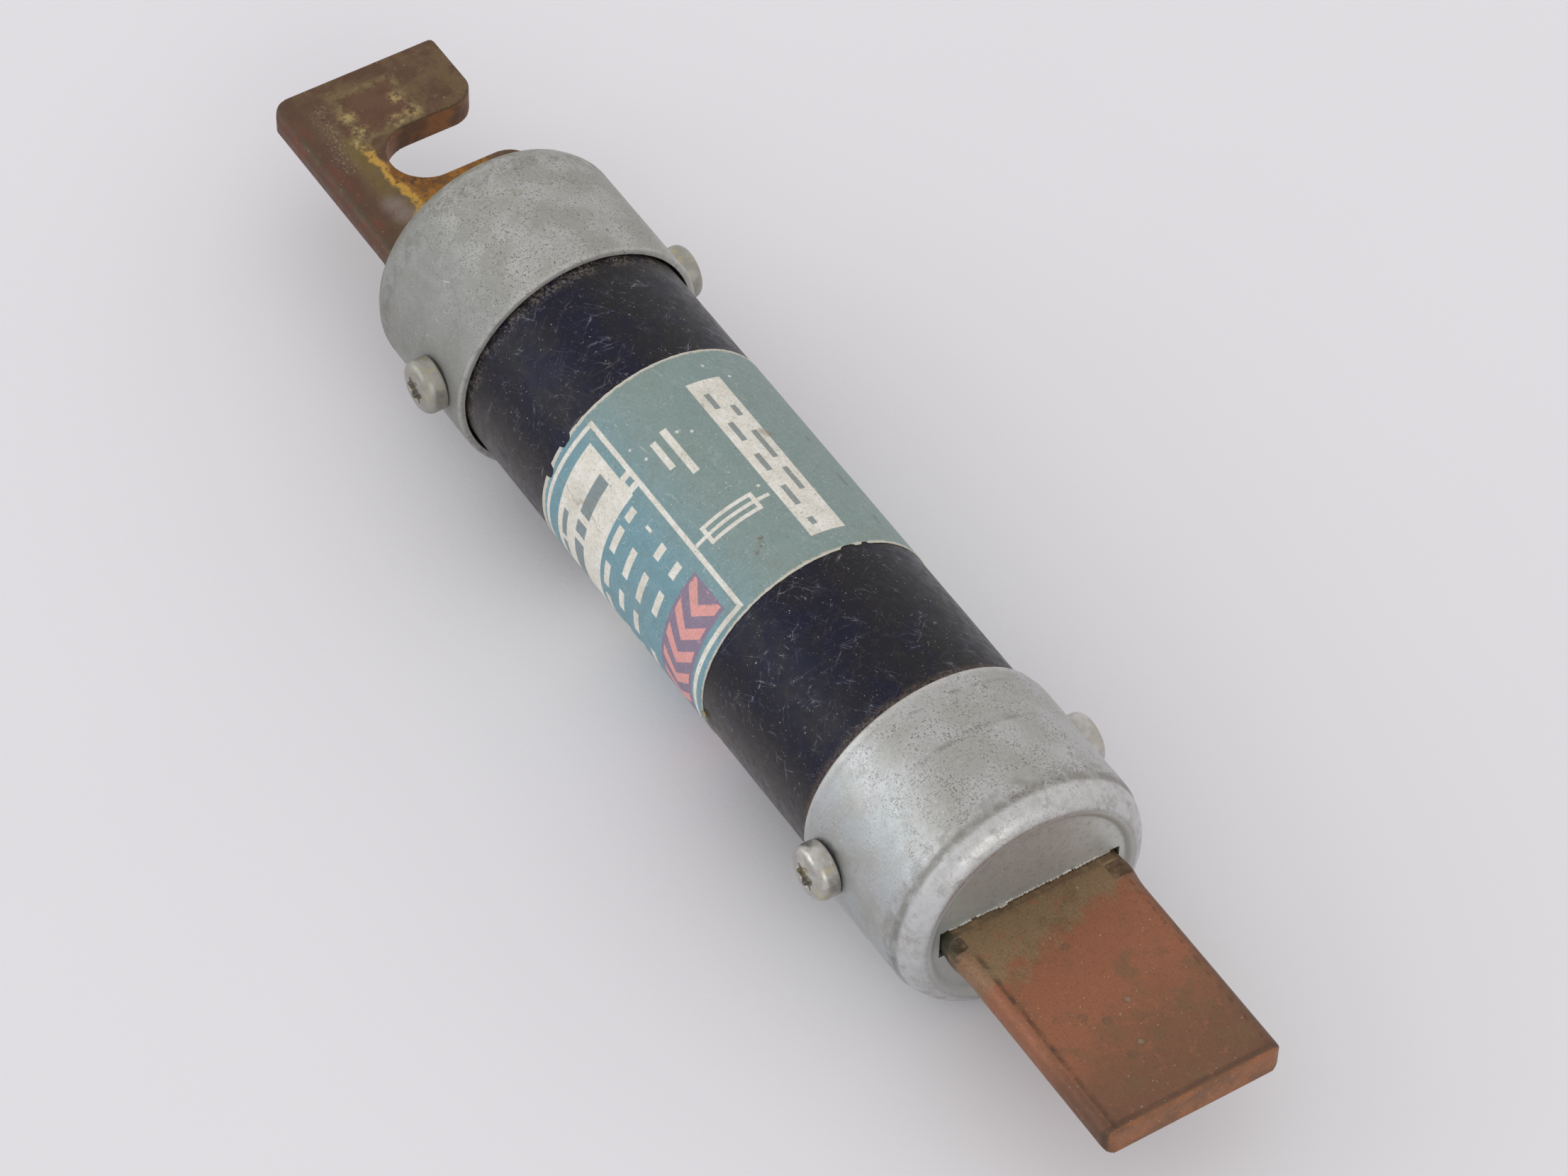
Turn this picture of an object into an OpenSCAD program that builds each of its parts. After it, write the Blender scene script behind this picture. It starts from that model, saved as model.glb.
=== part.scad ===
// Knife-blade cartridge fuse, time-delay type, with a rejection slot in one blade.
// The origin is the middle of the fuse on its axis. +X runs along the axis to the
// plain blade, +Y lies across the blades and out of the slot's mouth, and +Z is up
// from the flat of the blades. All sizes are in millimetres.

/* [Overall] */
// Length over both blades
overall_length = 149.2; // [140:0.1:160]
// How far the slotted end cap's end stands from the middle of the fuse
slotted_cap_end = 47.8; // [46:0.1:52]
// How far the plain end cap's end stands from the middle of the fuse
plain_cap_end = 49.0; // [46:0.1:52]

/* [Blades] */
// Width of each blade
blade_width = 19.05; // [18:0.05:19.4]
// Thickness of each blade
blade_thickness = 3.18; // [3:0.02:3.4]
// Radius of the rolled long edges
blade_edge_radius = 1.3; // [0.5:0.1:1.45]
// Radius of the blades' end corners, seen from above
blade_corner_radius = 1.2; // [0.6:0.1:2]
// Radius of the slotted blade's worn corner on the side away from the slot
worn_corner_radius = 2.2; // [0.6:0.1:3]
// Depth of the stakes that lock each blade against its cap
stake_depth = 0.5; // [0.3:0.1:0.8]
// How much lower each flat of a blade lies where it passes through the cap
contact_relief = 0.05; // [0.02:0.01:0.15]

/* [Rejection slot] */
// Distance of the slot's middle from the middle of the fuse
slot_middle = 61.2; // [60:0.1:63]
// Width of the slot along the fuse
slot_width = 8.0; // [6:0.1:9]
// Depth of the slot from the blade's edge
slot_depth = 12.5; // [10:0.1:14]
// Radius of the corners at the slot's mouth
slot_mouth_radius = 2.8; // [1:0.1:3.5]

/* [End caps] */
// Outer diameter of the drawn caps
cap_diameter = 27.0; // [26.4:0.1:28]
// Wall thickness of the caps
cap_wall = 0.7; // [0.5:0.05:0.9]
// Length of each cap, from its open rim to its end bead
cap_length = 17.8; // [16:0.1:20]
// How far the rounded corner reaches along the cap
cap_corner_length = 2.6; // [2:0.1:3.5]
// Radius of the crest of the end bead
cap_bead_radius = 11.9; // [11.7:0.1:12.2]
// Radius of the flat dish inside the bead
cap_dish_radius = 10.6; // [10.4:0.1:11]
// Depth of the dish below the bead
cap_dish_depth = 0.5; // [0.3:0.1:0.9]
// Clearance round a blade in its cap slot
cap_slot_clearance = 0.2; // [0.1:0.05:0.3]

/* [Tube] */
// Outer diameter of the fibre tube
tube_diameter = 25.0; // [24.6:0.1:25.2]
// Inner diameter of the fibre tube
tube_bore = 20.0; // [19.8:0.1:20.4]
// Thickness of the sealing gasket at each end
gasket_thickness = 0.8; // [0.5:0.1:1]

/* [Label] */
// Label edge towards the slotted end
label_start = -16.1; // [-20:0.1:-10]
// Label edge towards the plain end
label_end = 13.1; // [10:0.1:20]
// Thickness of the paper
label_thickness = 0.12; // [0.08:0.01:0.2]

/* [Screws] */
// Distance of the slotted end's screws from the middle of the fuse
slotted_screw_place = 34.6; // [34:0.1:37]
// Distance of the plain end's screws from the middle of the fuse
plain_screw_place = 35.5; // [35:0.1:38]
// Head diameter
screw_head_diameter = 5.6; // [5:0.1:6.2]
// Head height
screw_head_height = 2.4; // [1.8:0.1:2.6]
// Diameter of the shank in the blade's edge
screw_shank_diameter = 2.4; // [2:0.1:2.6]
// Shank length below the head
screw_length = 8.0; // [6:0.1:9]

/* [Short-circuit links] */
// Width of each link strip
link_width = 12; // [10:0.5:14]
// Thickness of each link strip
link_thickness = 0.3; // [0.2:0.05:0.4]
// Diameter of the holes that leave the narrow necks
link_hole_diameter = 3.2; // [2.6:0.1:3.4]

/* [Overload trigger] */
// How far the trigger springs back when the alloy melts
trigger_travel = 4.5; // [3:0.1:4.8]
// Diameter of the trigger's rod
trigger_rod_diameter = 3.6; // [3:0.1:4]
// Diameter of the trigger's flange
trigger_flange_diameter = 9.0; // [8.6:0.1:10]
// Diameter of the spring wire
spring_wire = 0.8; // [0.5:0.1:1]
// Number of turns in the spring
spring_turns = 5; // [4:0.5:6]

/* [Hidden] */

$fn = 96;
slop = 1;              // overshoot of every cutting shape
running_gap = 0.05;    // radial clearance of parts that slide or drop in
sand_gap = 0.1;        // clearance of the packed sand round solid parts

cap_radius = cap_diameter / 2;
cap_bore_radius = cap_radius - cap_wall;
cap_end_thickness = 0.9;
crimp_length = 1.3;    // how far the plain cap's rim is rolled in
crimp_wall = 0.7;      // metal left at the rolled rim
crimp_land = 0.3;      // straight stretch where the rolled rim meets the tube
crimp_step = 0.1;      // how far the wall has begun to turn in at the crimp's start
rim_edge = 0.25;       // break of the open rim's outer edge
corner_steps = 8;      // straight steps in each quarter round of the cap
dish_steps = 8;        // straight steps down into the dish

tube_radius = tube_diameter / 2;
bore_radius = tube_bore / 2;
cap_floor = cap_dish_depth + cap_end_thickness;    // end bead to the inside of the dish
tube_start = -(slotted_cap_end - cap_floor - gasket_thickness);
tube_end = plain_cap_end - cap_floor - gasket_thickness;

blade_half = blade_thickness / 2;
inner_half = blade_half - contact_relief;    // half thickness inside the cap
contact_gap = 0.2;     // from the cap's end bead to the start of the contact flats
blade_tip = overall_length / 2;
blade_root = 28.3;     // inner end of each blade, inside the tube
stake_length = 1.8;
stake_offset = 0.5;    // space between the cap's bead and a stake
stake_reach = 2.2;     // how far a stake runs in from the blade's edge
stake_bulge = 0.3;     // metal that a stake pushes out past the blade's edge
bulge_height = 1.8;
bulge_drop = 0.3;      // how far the bulge's middle lies below the blade's

screw_seat = cap_radius;
screw_pilot_gap = 0.2; // free depth past a screw's tip
cap_hole_radius = 1.6;
tube_hole_radius = 1.5;
recess_radius = 0.98;  // core of the six-lobed driver recess
recess_lobe_radius = 0.36;
recess_lobe_place = 1.02;
recess_depth = 1.1;
head_side = 1.4;       // straight side of the head below its rounded edge
dome_flat = 0.77;      // flat top of the head, as a share of its radius
screw_tip = 0.5;       // taper of the screw's tip
dome_steps = 10;

partition_thickness = 1.2;
chamber_start = -10.8; // inner faces of the two partitions
chamber_end = 12;
chamber_wall = 1.0;
tail_thickness = 1.2;  // flat tails that carry the links, level with the blades' inner tops
tail_width = 10;
tail_length = 5.5;
link_overlap = 4.8;    // lap of a link on its blade and on its tail
link_hump = 2.6;       // height of the fold in a link
link_fold_run = 1.6;   // run of each leg of the fold
hole_pitch = 4.0;
hole_offset = 1.9;     // from the foot of the fold to a row of holes

absorber_face = 5.5;
absorber_radius = 5.5;
absorber_gap = 0.2;    // from the absorber's shoulder to the partition
absorber_end = chamber_end - absorber_gap;
absorber_neck = 3.5;   // radius of the absorber's neck in the partition
neck_stand = 1.5;      // how far the neck passes the partition
socket_radius = 2.2;
socket_depth = 3.0;
tip_depth = 2.5;       // how far the trigger's tip sits in the socket
tip_gap = 0.02;

flange_front = -1.7;
flange_thickness = 1.2;
flange_back = flange_front - flange_thickness;
guide_front = flange_back - trigger_travel;
guide_shoulder_radius = 5.5;
guide_body_radius = 3.5;
guide_grip = 2.2;      // length of rod held in the guide at rest
guide_space = 0.4;     // free depth behind the rod when it has sprung back
guide_floor = 0.8;     // brass left behind that depth
guide_back = guide_front - guide_grip - trigger_travel - guide_space - guide_floor;
rod_tail = guide_front - guide_grip;
seat_thickness = 1.2;
seat_step = 0.5;       // how much smaller the seat is than the absorber, as a radius
seat_hole_gap = 0.2;   // radial gap between the seat and the trigger's rod
spring_front = absorber_face - seat_thickness;
spring_radius = 3.3;   // mean radius of the coil
wire_sides = 8;
turn_steps = 20;

// Places its children, built along +Z, along +X.
module along_x() {
    rotate([0, 90, 0]) children();
}

// A round bar or disc along the fuse's axis.
module axial(start, end, radius) {
    translate([start, 0, 0]) along_x() cylinder(h = end - start, r = radius);
}

// A plain block given by its two ends along the axis, its width and its two heights.
module slab(start, end, width, low, high) {
    translate([start, -width / 2, low]) cube([end - start, width, high - low]);
}

// What is cut away to round one corner of an outline.
module corner_waste(radius) {
    difference() {
        translate([-slop, -slop]) square(radius + slop);
        translate([radius, radius]) circle(radius);
    }
}

// Turns the plan of a slotted-end part to the other end.
module at_slotted_end() {
    mirror([1, 0, 0]) children();
}

// ---- Blades -------------------------------------------------------------

// Cross-section of a blade, with rolled edges.
module blade_section() {
    core = blade_width - 2 * blade_edge_radius;
    web = blade_thickness - 2 * blade_edge_radius;
    square([blade_thickness, core], center = true);
    square([web, blade_width], center = true);
    for (z = [-1, 1], y = [-1, 1])
        translate([z * web / 2, y * core / 2]) circle(blade_edge_radius, $fn = 32);
}

// A blade from its root inside the tube to its tip. The contact flats start just
// outside the cap, and stand a little proud of the flats inside it.
module blade_bar(cap_end) {
    difference() {
        translate([blade_root, 0, 0]) along_x()
            linear_extrude(blade_tip - blade_root) blade_section();
        for (side = [0, 1])
            mirror([0, 0, side]) slab(blade_root - slop, cap_end + contact_gap,
                blade_width + 2 * slop, inner_half, blade_half + slop);
    }
}

// Waste outside the two corners at the blade's outer end.
module end_corner_waste(plus_radius, minus_radius) {
    translate([0, 0, -blade_half - slop]) linear_extrude(blade_thickness + 2 * slop) {
        translate([blade_tip, blade_width / 2]) rotate(180) corner_waste(plus_radius);
        translate([blade_tip, -blade_width / 2]) rotate(90) corner_waste(minus_radius);
    }
}

// Pilot holes that the two screws cut their threads in.
module pilot_holes(place) {
    depth = screw_length + screw_pilot_gap;
    for (side = [-1, 1])
        translate([place, side * (screw_seat - depth), 0]) rotate([-90 * side, 0, 0])
            cylinder(h = depth, d = screw_shank_diameter);
}

// Dents punched into the top face beside the cap.
module stake_dents(cap_end) {
    middle = cap_end + stake_offset + stake_length / 2;
    for (side = [-1, 1])
        translate([middle, side * (blade_width / 2 - stake_reach / 2 + slop), blade_half])
            cube([stake_length, stake_reach + 2 * slop, 2 * stake_depth], center = true);
}

// Metal that the punch pushes out past the blade's edges.
module stake_bulges(cap_end) {
    middle = cap_end + stake_offset + stake_length / 2;
    for (side = [-1, 1])
        translate([middle, side * (blade_width / 2 - slop / 2 + stake_bulge), -bulge_drop])
            cube([stake_length, slop, bulge_height], center = true);
}

module slot_outline() {
    edge = blade_width / 2;
    bottom = edge - slot_depth + slot_width / 2;
    translate([slot_middle, bottom]) circle(d = slot_width);
    translate([slot_middle - slot_width / 2, bottom]) square([slot_width, edge - bottom + slop]);
    translate([slot_middle + slot_width / 2, edge]) rotate(-90) corner_waste(slot_mouth_radius);
    translate([slot_middle - slot_width / 2, edge]) rotate(180) corner_waste(slot_mouth_radius);
}

module slotted_blade() {
    color("saddlebrown") at_slotted_end() {
        stake_bulges(slotted_cap_end);
        difference() {
            blade_bar(slotted_cap_end);
            end_corner_waste(blade_corner_radius / 2, worn_corner_radius);
            stake_dents(slotted_cap_end);
            pilot_holes(slotted_screw_place);
            translate([0, 0, -blade_half - slop])
                linear_extrude(blade_thickness + 2 * slop) slot_outline();
        }
    }
}

module plain_blade() {
    color("peru") {
        stake_bulges(plain_cap_end);
        difference() {
            blade_bar(plain_cap_end);
            end_corner_waste(blade_corner_radius, blade_corner_radius);
            stake_dents(plain_cap_end);
            pilot_holes(plain_screw_place);
        }
    }
}

// ---- End caps -----------------------------------------------------------

// Outside of the cap from its corner over the bead and into the dish, as
// [radius, distance from the rim].
function cap_outside(bead, dish_depth, wall) = concat(
    [for (i = [0:corner_steps]) let (a = 90 * i / corner_steps)
        [bead + (cap_radius - wall - bead) * cos(a),
         cap_length - cap_corner_length + (cap_corner_length - wall) * sin(a)]],
    [for (i = [1:dish_steps]) let (t = i / dish_steps)
        [bead + (cap_dish_radius - bead) * t,
         cap_length - wall - (dish_depth - wall) * (1 - cos(180 * t)) / 2]]);

function reversed(list) = [for (i = [len(list) - 1:-1:0]) list[i]];

// Wall of a cap. The crimp is how far the open rim is rolled in towards the tube.
module cap_shell(crimp) {
    outer = cap_outside(cap_bead_radius, cap_dish_depth, 0);
    inner = cap_outside(cap_bead_radius, cap_floor, cap_wall);
    inside = cap_bore_radius - crimp;
    outside = inside + crimp_wall;
    rolled_rim = [[cap_bore_radius, crimp_length], [inside, crimp_land], [inside, 0],
        [outside - rim_edge, 0], [outside, rim_edge],
        [cap_radius - crimp_step, crimp_length - crimp_land], [cap_radius, crimp_length]];
    open_rim = [[cap_bore_radius, 0], [cap_radius - rim_edge, 0], [cap_radius, rim_edge]];
    rim = crimp > 0 ? rolled_rim : open_rim;
    rotate_extrude() polygon(concat(rim, outer, [[0, cap_length - cap_dish_depth],
        [0, cap_length - cap_floor]], reversed(inner)));
}

// A finished cap, with its blade slot and its two screw holes.
module end_cap(cap_end, screw_place, crimp) {
    rim = cap_end - cap_length;
    slot = [3 * slop + cap_floor, blade_width + 2 * cap_slot_clearance,
        blade_thickness + 2 * cap_slot_clearance];
    difference() {
        translate([rim, 0, 0]) along_x() cap_shell(crimp);
        translate([cap_end, 0, 0]) cube(slot, center = true);
        for (side = [-1, 1])
            translate([screw_place, side * (cap_radius + slop), 0]) rotate([90 * side, 0, 0])
                cylinder(h = cap_wall + 2 * slop, r = cap_hole_radius);
    }
}

module slotted_end_cap() {
    color("silver") at_slotted_end() end_cap(slotted_cap_end, slotted_screw_place, 0);
}

module plain_end_cap() {
    crimp = cap_bore_radius - tube_radius - running_gap;
    color("silver") end_cap(plain_cap_end, plain_screw_place, crimp);
}

// ---- Tube, label and gaskets --------------------------------------------

module fuse_tube() {
    color([0.12, 0.12, 0.17]) difference() {
        axial(tube_start, tube_end, tube_radius);
        axial(tube_start - slop, tube_end + slop, bore_radius);
        for (place = [-slotted_screw_place, plain_screw_place])
            translate([place, 0, 0]) rotate([90, 0, 0])
                cylinder(h = tube_diameter + 2 * slop, r = tube_hole_radius, center = true);
    }
}

module paper_label() {
    color("cadetblue") difference() {
        axial(label_start, label_end, tube_radius + label_thickness);
        axial(label_start - slop, label_end + slop, tube_radius);
    }
}

// A fibre disc with a slot for the blade.
module gasket(start) {
    difference() {
        axial(start, start + gasket_thickness, tube_radius);
        slab(start - slop, start + gasket_thickness + slop, blade_width + 2 * running_gap,
            -inner_half - running_gap, inner_half + running_gap);
    }
}

module slotted_end_gasket() {
    color("sienna") at_slotted_end() gasket(-tube_start);
}

module plain_end_gasket() {
    color("sienna") gasket(tube_end);
}

// ---- Screws -------------------------------------------------------------

// Rounded edge of the head, as [radius, height above the seat].
function dome_points() = let (r = screw_head_diameter / 2, top = dome_flat * r)
    [for (i = [0:dome_steps]) let (a = 90 * i / dome_steps)
        [top + (r - top) * cos(a), head_side + (screw_head_height - head_side) * sin(a)]];

module driver_recess() {
    translate([0, 0, screw_head_height - recess_depth]) linear_extrude(recess_depth + slop) {
        circle(recess_radius);
        for (lobe = [0:60:300])
            rotate(lobe) translate([recess_lobe_place, 0]) circle(recess_lobe_radius, $fn = 24);
    }
}

// One screw along +Z, with its seat at height 0.
module cap_screw() {
    shank = screw_shank_diameter / 2;
    difference() {
        rotate_extrude() polygon(concat([[0, -screw_length], [shank - screw_tip, -screw_length],
            [shank, screw_tip - screw_length], [shank, 0], [screw_head_diameter / 2, 0]],
            dome_points(), [[0, screw_head_height]]));
        driver_recess();
    }
}

module screw_pair(place) {
    for (side = [-1, 1])
        translate([place, side * screw_seat, 0]) rotate([-90 * side, 0, 0]) cap_screw();
}

module slotted_end_screws() {
    color("gainsboro") screw_pair(-slotted_screw_place);
}

module plain_end_screws() {
    color("gainsboro") screw_pair(plain_screw_place);
}

// ---- Short-circuit links and sand ---------------------------------------

// Middle line of a link, as [place along the axis, height], with one fold in the middle.
function link_path(start, end) = let (middle = (start + end) / 2)
    [[start, 0], [middle - 2 * link_fold_run, 0], [middle - link_fold_run, link_hump],
     [middle + link_fold_run, link_hump], [middle + 2 * link_fold_run, 0], [end, 0]];

// A perforated strip lying on top of the blade and of the tail.
module link(tail_end) {
    start = tail_end - link_overlap;
    end = blade_root + link_overlap;
    path = link_path(start, end);
    neck_places = [for (k = [-1, 1]) (start + end) / 2 + k * (2 * link_fold_run + hole_offset)];
    translate([0, 0, inner_half]) difference() {
        translate([0, link_width / 2, 0]) rotate([90, 0, 0]) linear_extrude(link_width)
            polygon(concat(path, reversed([for (p = path) p + [0, link_thickness]])));
        for (x = neck_places, k = [-1.5:1:1.5])
            translate([x, k * hole_pitch, -slop])
                cylinder(h = link_thickness + 2 * slop, d = link_hole_diameter);
    }
}

// Packed sand from a partition to a gasket, clear of the blade, link, tail and screws.
module sand(start, end, tail_end, neck_end, screw_place) {
    difference() {
        axial(start + sand_gap, end - sand_gap, bore_radius - running_gap);
        slab(blade_root - sand_gap, end + slop, blade_width + 2 * sand_gap,
            -inner_half - sand_gap, inner_half + sand_gap);
        slab(tail_end - link_overlap - sand_gap, blade_root + link_overlap + sand_gap,
            link_width + 2 * sand_gap, inner_half - sand_gap,
            inner_half + link_thickness + link_hump + sand_gap);
        slab(start - slop, tail_end + sand_gap, tail_width + 2 * sand_gap,
            inner_half - tail_thickness - sand_gap, inner_half + link_thickness + sand_gap);
        axial(start - slop, neck_end + sand_gap, guide_body_radius + sand_gap);
        translate([screw_place, 0, 0]) rotate([90, 0, 0])
            cylinder(h = tube_diameter, d = screw_shank_diameter + 2 * sand_gap, center = true);
    }
}

guide_tail_end = -guide_back + tail_length;
absorber_neck_end = chamber_end + partition_thickness + neck_stand;
absorber_tail_end = absorber_neck_end + tail_length;

module slotted_end_link() {
    color("orange") at_slotted_end() link(guide_tail_end);
}

module plain_end_link() {
    color("orange") link(absorber_tail_end);
}

module slotted_end_sand() {
    color("wheat") at_slotted_end()
        sand(partition_thickness - chamber_start, -tube_start, guide_tail_end, -guide_back,
            slotted_screw_place);
}

module plain_end_sand() {
    color("wheat")
        sand(chamber_end + partition_thickness, tube_end, absorber_tail_end,
            absorber_neck_end, plain_screw_place);
}

// ---- Overload chamber ---------------------------------------------------

// A fibre disc that closes one end of the chamber round a neck.
module partition(start, neck_radius) {
    difference() {
        axial(start, start + partition_thickness, bore_radius - running_gap);
        axial(start - slop, start + partition_thickness + slop, neck_radius + running_gap);
    }
}

module slotted_side_partition() {
    color("tan") partition(chamber_start - partition_thickness, guide_body_radius);
}

module plain_side_partition() {
    color("tan") partition(chamber_end, absorber_neck);
}

module overload_chamber() {
    outer = bore_radius - running_gap;
    color("burlywood") difference() {
        axial(chamber_start, chamber_end, outer);
        axial(chamber_start - slop, chamber_end + slop, outer - chamber_wall);
    }
}

// Brass bush that the trigger slides back into, with the tail for its link.
module trigger_guide() {
    color("goldenrod") difference() {
        union() {
            axial(chamber_start, guide_front, guide_shoulder_radius);
            axial(guide_back, chamber_start, guide_body_radius);
            slab(-guide_tail_end, guide_back, tail_width, inner_half - tail_thickness, inner_half);
        }
        axial(rod_tail - trigger_travel - guide_space, guide_front + slop,
            trigger_rod_diameter / 2 + running_gap);
    }
}

module trigger_plunger() {
    color("gold") {
        axial(rod_tail, absorber_face + tip_depth, trigger_rod_diameter / 2);
        axial(flange_back, flange_front, trigger_flange_diameter / 2);
    }
}

// Middle of the wire at step i of the coil, and the ring of points round it.
function coil_place(i, steps, start, end) = let (a = 360 * i / turn_steps)
    [start + (end - start) * i / steps, spring_radius * cos(a), spring_radius * sin(a)];
function wire_ring(i, steps, start, end) =
    let (a = 360 * i / turn_steps, c = coil_place(i, steps, start, end))
    [for (k = [0:wire_sides - 1]) let (b = 360 * k / wire_sides, r = spring_wire / 2 * cos(b))
        c + [spring_wire / 2 * sin(b), r * cos(a), r * sin(a)]];

module trigger_spring() {
    steps = spring_turns * turn_steps;
    start = flange_front + spring_wire / 2 + tip_gap;
    end = spring_front - spring_wire / 2 - tip_gap;
    points = [for (i = [0:steps]) each wire_ring(i, steps, start, end)];
    sides = [for (i = [0:steps - 1], k = [0:wire_sides - 1])
        let (a = i * wire_sides + k, b = i * wire_sides + (k + 1) % wire_sides)
        [a, b, b + wire_sides, a + wire_sides]];
    first = [for (k = [wire_sides - 1:-1:0]) k];
    last = [for (k = [0:wire_sides - 1]) steps * wire_sides + k];
    color("slategray") polyhedron(points, concat([first, last], sides));
}

// Insulating washer between the spring and the heat absorber.
module spring_seat() {
    color("ivory") difference() {
        axial(spring_front, absorber_face, absorber_radius - seat_step);
        axial(spring_front - slop, absorber_face + slop,
            trigger_rod_diameter / 2 + seat_hole_gap);
    }
}

// Copper block that gathers the heat of a lasting overload, with the tail for its link.
module heat_absorber() {
    color("chocolate") difference() {
        union() {
            axial(absorber_face, absorber_end, absorber_radius);
            axial(absorber_end, absorber_neck_end, absorber_neck);
            slab(absorber_neck_end, absorber_tail_end, tail_width,
                inner_half - tail_thickness, inner_half);
        }
        axial(absorber_face - slop, absorber_face + socket_depth, socket_radius);
    }
}

// Ring of low-melting alloy that holds the trigger's tip in the socket.
module fusing_alloy() {
    color("lightgray") difference() {
        axial(absorber_face, absorber_face + tip_depth, socket_radius);
        axial(absorber_face - slop, absorber_face + tip_depth + slop,
            trigger_rod_diameter / 2 + tip_gap);
    }
}

fuse_tube();
paper_label();
slotted_end_cap();
plain_end_cap();
slotted_blade();
plain_blade();
slotted_end_screws();
plain_end_screws();
slotted_end_gasket();
plain_end_gasket();
slotted_end_link();
plain_end_link();
slotted_end_sand();
plain_end_sand();
slotted_side_partition();
plain_side_partition();
overload_chamber();
trigger_guide();
trigger_plunger();
trigger_spring();
spring_seat();
heat_absorber();
fusing_alloy();
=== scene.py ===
# Knife-blade cartridge fuse: the looks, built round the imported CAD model.
import math
import random

import bmesh
import bpy
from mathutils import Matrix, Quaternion, Vector, noise


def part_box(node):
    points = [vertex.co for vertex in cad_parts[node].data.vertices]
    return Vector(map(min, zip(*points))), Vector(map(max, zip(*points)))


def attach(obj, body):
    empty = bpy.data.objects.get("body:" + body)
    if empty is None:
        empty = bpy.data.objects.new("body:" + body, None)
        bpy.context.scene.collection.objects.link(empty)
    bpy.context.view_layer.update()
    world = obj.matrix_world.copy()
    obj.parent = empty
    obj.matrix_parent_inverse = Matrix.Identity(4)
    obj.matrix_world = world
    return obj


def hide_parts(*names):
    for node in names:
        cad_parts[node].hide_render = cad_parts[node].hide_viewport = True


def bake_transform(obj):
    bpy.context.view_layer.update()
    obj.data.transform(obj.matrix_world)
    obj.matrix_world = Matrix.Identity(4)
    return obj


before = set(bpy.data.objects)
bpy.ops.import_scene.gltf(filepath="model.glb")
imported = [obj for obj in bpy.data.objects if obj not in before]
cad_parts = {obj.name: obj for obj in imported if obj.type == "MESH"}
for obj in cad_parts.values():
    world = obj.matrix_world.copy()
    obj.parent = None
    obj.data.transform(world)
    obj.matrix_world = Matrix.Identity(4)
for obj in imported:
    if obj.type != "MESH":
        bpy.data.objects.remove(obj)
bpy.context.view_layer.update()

MM = 0.001
FULL_TURN = 2 * math.pi


def mm_box(node):
    """Lowest and highest corners of a CAD node, in millimetres."""
    low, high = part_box(node)
    return low / MM, high / MM


# ---- Sizes in millimetres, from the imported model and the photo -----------

TUBE_LOW, TUBE_HIGH = mm_box("fuse_tube")
LABEL_LOW, LABEL_HIGH = mm_box("paper_label")
FAR_CAP_LOW, FAR_CAP_HIGH = mm_box("slotted_end_cap")
NEAR_CAP_LOW, NEAR_CAP_HIGH = mm_box("plain_end_cap")
PLAIN_LOW, PLAIN_HIGH = mm_box("plain_blade")
FAR_SCREW_LOW, FAR_SCREW_HIGH = mm_box("slotted_end_screws")
NEAR_SCREW_LOW, NEAR_SCREW_HIGH = mm_box("plain_end_screws")
SPRING_LOW, SPRING_HIGH = mm_box("trigger_spring")

CAP_RADIUS = FAR_CAP_HIGH.z
CAP_LENGTH = FAR_CAP_HIGH.x - FAR_CAP_LOW.x
CAP_WALL = 0.7
CAP_HOLE = 1.6
CAP_FLOOR = 1.4              # end bead to the inside of the dish
CREASE = CAP_LENGTH - 2.6    # where the side of a cap ends
FAR_END = -FAR_CAP_LOW.x
NEAR_END = NEAR_CAP_HIGH.x
TUBE_RADIUS = TUBE_HIGH.z
TUBE_BORE = 10.0
TUBE_HOLE = 1.5
BLADE_HALF = PLAIN_HIGH.z
BLADE_EDGE = 9.525
BLADE_ROLL = 1.3
BLADE_TIP = PLAIN_HIGH.x
BLADE_ROOT = PLAIN_LOW.x
FLAT_RELIEF = 0.05           # how much thinner a blade is inside its cap
FLAT_GAP = 0.2               # how far that goes on past the cap
STAKE_START = 0.5
STAKE_LENGTH = 1.8
STAKE_REACH = 2.2
STAKE_DEPTH = 0.5
STAKE_ROUND = 0.12
SLOT_MIDDLE = 61.2
SLOT_HALF = 4.0
SLOT_BOTTOM = BLADE_EDGE - 12.5 + SLOT_HALF
SLOT_MOUTH = 2.8             # rounding where the slot opens
HEAD_RADIUS = 2.8
HEAD_HEIGHT = FAR_SCREW_HIGH.y - CAP_RADIUS
HEAD_SIDE = 1.25             # height of the head's straight side
HEAD_FLAT = 2.0              # radius of its nearly flat top
HEAD_CROWN = 0.26
RECESS_DEPTH = 0.85
SHANK_RADIUS = 1.2
SHANK_LENGTH = 8.0
FAR_SCREW = (FAR_SCREW_LOW.x + FAR_SCREW_HIGH.x) / 2
NEAR_SCREW = (NEAR_SCREW_LOW.x + NEAR_SCREW_HIGH.x) / 2
LABEL_RADIUS = LABEL_HIGH.z
ARC_PER_DEGREE = math.radians(LABEL_RADIUS)

CAP_SIDES = 288              # how finely each piece is made
TUBE_SIDES = 240
LABEL_SIDES = 720
LABEL_COLUMNS = 60
SCREW_SIDES = 144
SKIN_VOXEL = 0.15


# ---- Mesh helpers (all take millimetres) ---------------------------------

def add_mesh(name, points, faces, sharp=38):
    """A smooth-shaded mesh object whose edges above the angle stay sharp."""
    mesh = bpy.data.meshes.new(name)
    mesh.from_pydata([tuple(c * MM for c in p) for p in points], [], faces)
    mesh.validate()
    obj = bpy.data.objects.new(name, mesh)
    bpy.context.scene.collection.objects.link(obj)
    outward(obj)
    shade(obj, sharp)
    return obj


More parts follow.
